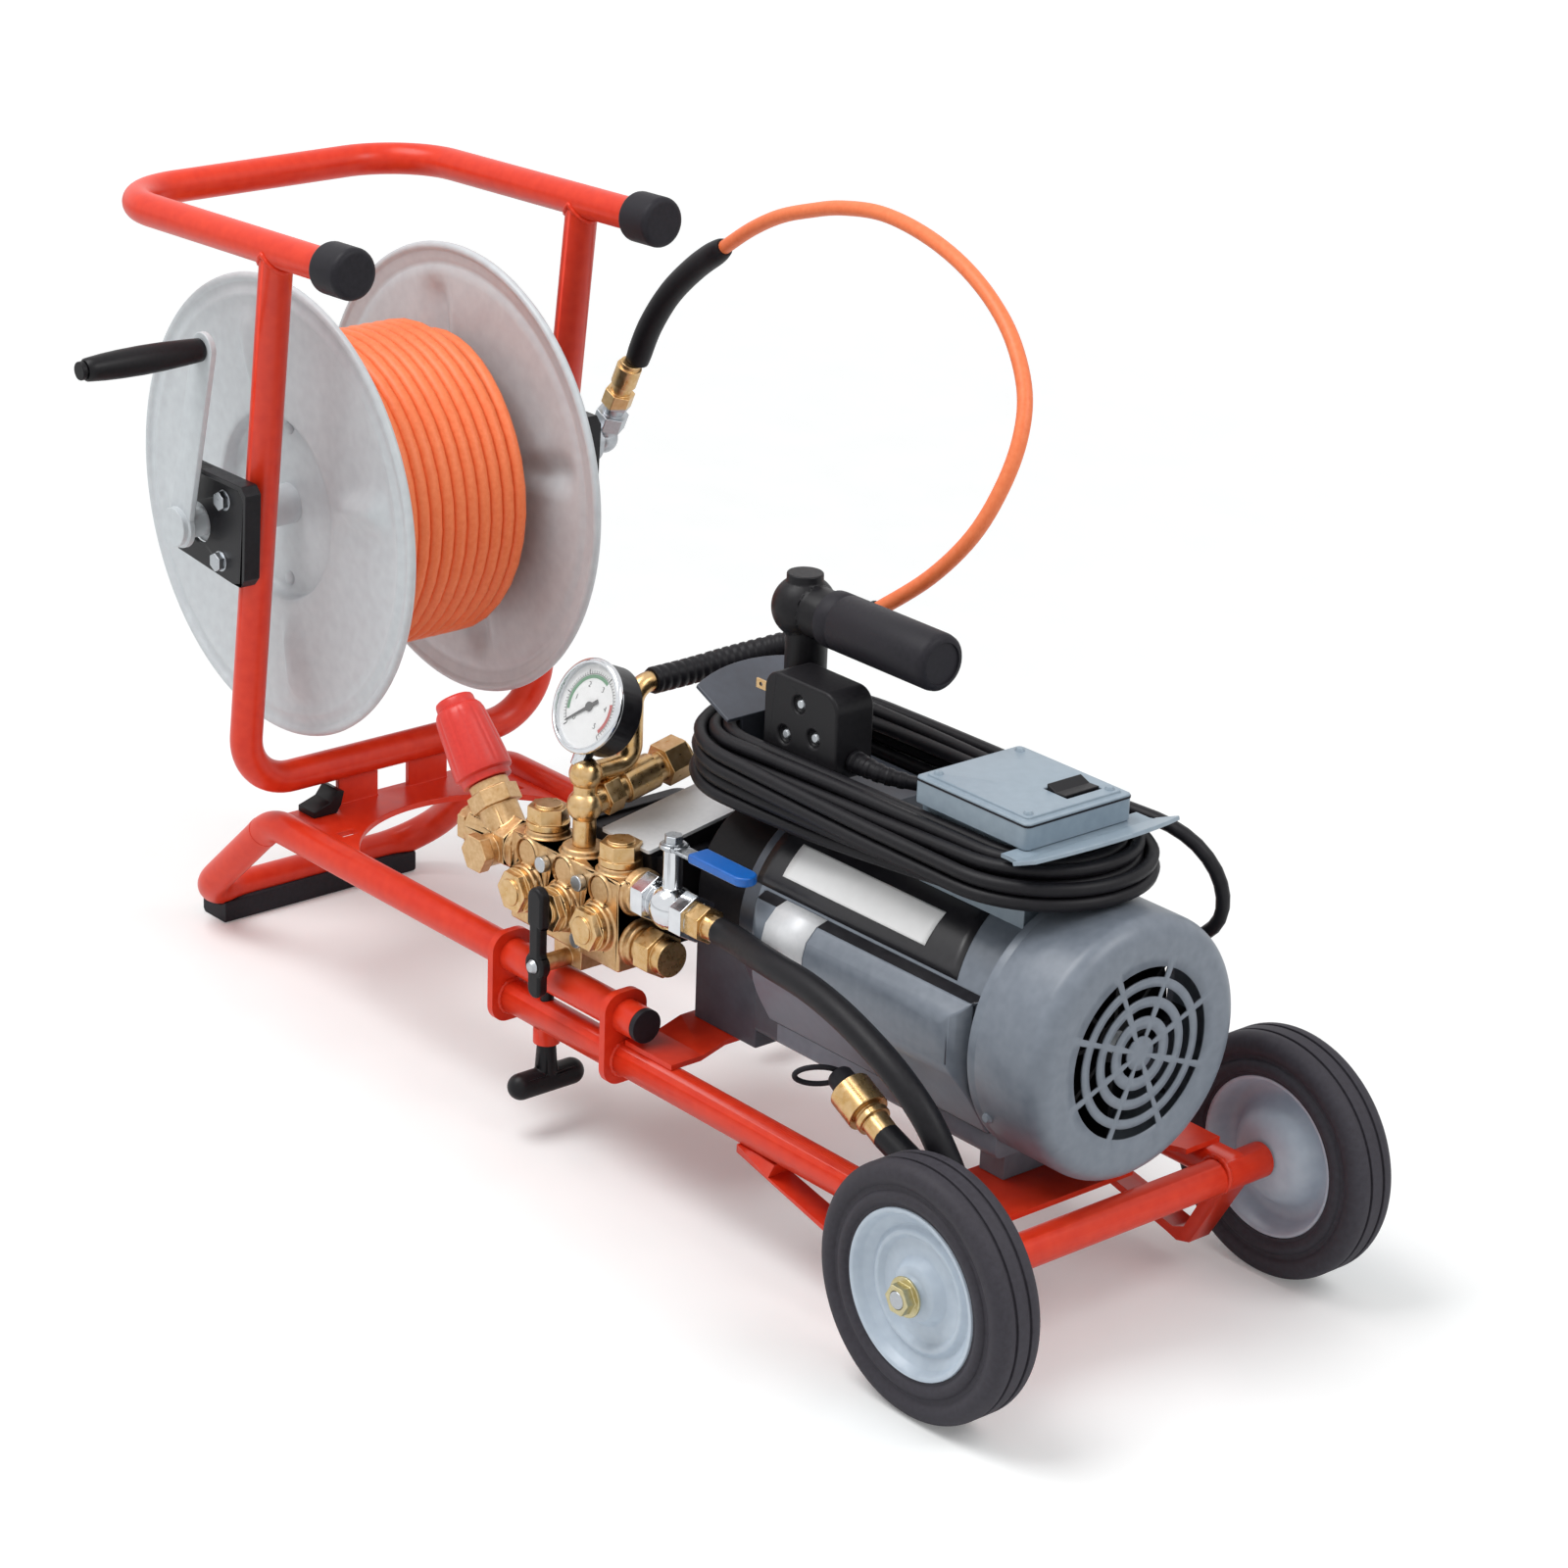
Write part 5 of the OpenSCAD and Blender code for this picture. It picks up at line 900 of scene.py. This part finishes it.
# Pressure gauge: a chrome plated bezel on a dark can, a white enamelled dial with printed arcs,
# ticks and figures, and a flat glass. The chrome is nearly a mirror, the dial and its inks are
# matt, and the glass is thin enough to be seen only by its reflections.
polished = finish("polished_chrome_plate", 8, "#D2D5D9", "#E2E4E7", (0.07, 0.16), 0.01,
                  detail=1.5, strength=0.1, Metallic=1.0)
dial_paper = finish("white_dial_enamel", 5, "#EDEDED", "#F6F6F6", (0.5, 0.6), 0.01, strength=0.1, IOR=1.5)
ink, green_ink, red_ink = (
    finish(name, 2, low, high, (0.45, 0.6), 0.01, strength=0.1, IOR=1.5)
    for name, low, high in (("black_dial_ink", "#0E0E10", "#1A1A1C"),
                            ("green_dial_ink", "#3F7F55", "#4F9065"),
                            ("red_dial_ink", "#B0302C", "#C23C36")))
glass = bpy.data.materials.new("clear_gauge_glass")
glass.use_nodes = True
glass.node_tree.nodes.clear()
glass_where = add(glass, "ShaderNodeTexCoord", {}).outputs["Object"]
ripple = add(glass, "ShaderNodeTexNoise", {"Vector": glass_where, "Scale": 60.0, "Detail": 1.0})
waves = add(glass, "ShaderNodeBump", {"Height": ripple.outputs["Fac"], "Strength": 0.05, "Distance": 0.0001})
sheer = add(glass, "ShaderNodeBsdfPrincipled", {
    "IOR": 1.45, "Roughness": 0.03, "Alpha": 0.1, "Normal": waves.outputs[0]})
add(glass, "ShaderNodeOutputMaterial", {"Surface": sheer.outputs[0]})
gauge_at, gauge_tilt = Vector((0.482, -0.096, 0.334)), 24
on_gauge = turned_by(gauge_at, 90 - gauge_tilt, "X")
off_gauge = on_gauge.inverted()
fair_copy("gauge_can_and_bezel", "gauge_case", polished, "cart", 0.4, sharp=28,
          second=(satin, lambda middle: (off_gauge @ middle).z < -0.0105))
fair_copy("dial_plate", "gauge_dial", dial_paper, "cart", 0)
fair_copy("gauge_pointer", "gauge_needle", ink, "needle", 0)
pane = turned([(0, 0), (29.8, 0), (30.4, -0.4), (30.4, -1), (29.8, -1.4), (0, -1.4)], 72)
placed("gauge_glass", pane, on_gauge @ Matrix.Translation((0, 0, -0.0012)), [glass], "cart", 40)


def dial_arc(name, inner, outer, first, last, material):
    """A printed arc on the dial, its angles counted from the right, anticlockwise."""
    form = bmesh.new()
    start = Matrix.Rotation(math.radians(first), 4, "Z")
    ends = [form.verts.new(start @ Vector((r, 0, -0.0038))) for r in (inner, outer)]
    edge = form.edges.new(ends)
    bmesh.ops.spin(form, geom=[*ends, edge], cent=(0, 0, 0), axis=(0, 0, 1), angle=math.radians(last - first),
                   steps=max(2, int(abs(last - first) / 4)), use_merge=False)
    bmesh.ops.recalc_face_normals(form, faces=form.faces)
    if form.faces[0].normal.z < 0:
        bmesh.ops.reverse_faces(form, faces=form.faces)
    return placed(name, form, on_gauge, [material], "cart")


dial_arc("dial_safe_arc", 0.0205, 0.0232, 62, 200, green_ink)
dial_arc("dial_limit_arc", 0.0205, 0.0232, -40, 20, red_ink)
dial_arc("dial_scale_line", 0.0236, 0.0240, -45, 225, ink)
scale_from, scale_sweep, ticks, figure_ring = 225, 270, 50, 0.0163
marks = bmesh.new()
for k in range(ticks + 1):
    long_mark = k % 10 == 0
    reach, wide = (0.0034, 0.0007) if long_mark else (0.0019, 0.00035)
    made = bmesh.ops.create_cube(marks, size=1)["verts"]
    bmesh.ops.scale(marks, verts=made, vec=(reach, wide, 0.0001))
    outward = Matrix.Rotation(math.radians(scale_from - scale_sweep * k / ticks), 4, "Z")
    bmesh.ops.transform(marks, verts=made,
                        matrix=outward @ Matrix.Translation((0.0240 + reach / 2, 0, -0.0037)))
placed("dial_ticks", marks, on_gauge, [ink], "cart")
figures = bmesh.new()
for k in range(6):
    letter = bpy.data.curves.new("figure", "FONT")
    letter.body, letter.size, letter.align_x, letter.align_y = str(k), 0.0058, "CENTER", "CENTER"
    holder = bpy.data.objects.new("figure", letter)
    shape = bpy.data.meshes.new_from_object(holder)
    a = math.radians(scale_from - scale_sweep * k / 5)
    shape.transform(Matrix.Translation((figure_ring * math.cos(a), figure_ring * math.sin(a), -0.00378)))
    figures.from_mesh(shape)
    bpy.data.objects.remove(holder)
    bpy.data.curves.remove(letter)
    bpy.data.meshes.remove(shape)
placed("dial_figures", figures, on_gauge, [ink], "cart")

# Inlet ball valve: nickel plated body with a steel lever in a blue vinyl sleeve,
# a brass hose tail, and the swivel coupling for a garden hose with its tethered rubber stopper.
# The lever is dipped in the vinyl, which dries to a smooth thick skin.
fair_copy("plated_ball_valve", "inlet_valve", polished, "cart", 0.7)
dipped = finish("blue_vinyl_dip", 3, "#045AB0", "#0A69C4", (0.3, 0.4), 0.05,
                detail=1.5, strength=0.25, IOR=1.53)
fair_copy("dipped_valve_lever", "inlet_lever", bright, "inlet_handle", 1.6, steps=3,
          second=(dipped, lambda middle: middle.x > 0.6115))
fair_copy("brass_hose_tail", "hose_tail", turned_brass, "cart", 0.6)
fasteners("lever_nut", [(0.586, -0.098, 0.2646)], (0, 0, 1), 0.012, 0.006, bright, "inlet_handle")
swivel_coupling = fair_copy("swivel_coupling", "garden_coupling", turned_brass, "cart", 0.8)
coupling_at, coupling_axis = Vector((0.814, -0.095, 0.128)), Vector((-0.9, 0.08, 0.36)).normalized()
stopper = turned([(0, 0), (12, 0), (12.6, 1), (12.6, 17), (10.5, 18.5), (9.8, 20), (9.2, 30),
                  (8, 32), (0, 32.5)], 40)
stopper_piece = placed("rubber_stopper", stopper, aimed(coupling_at + coupling_axis * 0.0285, coupling_axis),
                       [rubber], "cart", 40)
long_way, short_way = Vector((0.66, 0.75, 0.05)), Vector((0.2, -0.17, 0.96))
loop_at = coupling_at + coupling_axis * 0.060 - long_way * 0.014
stopper_loop = laid("stopper_loop", [ring_round(loop_at, long_way * 0.016, short_way * 0.0075, 1, 36)], 0.004,
                    rubber, "cart", "black_rubber", 3, closed=True)
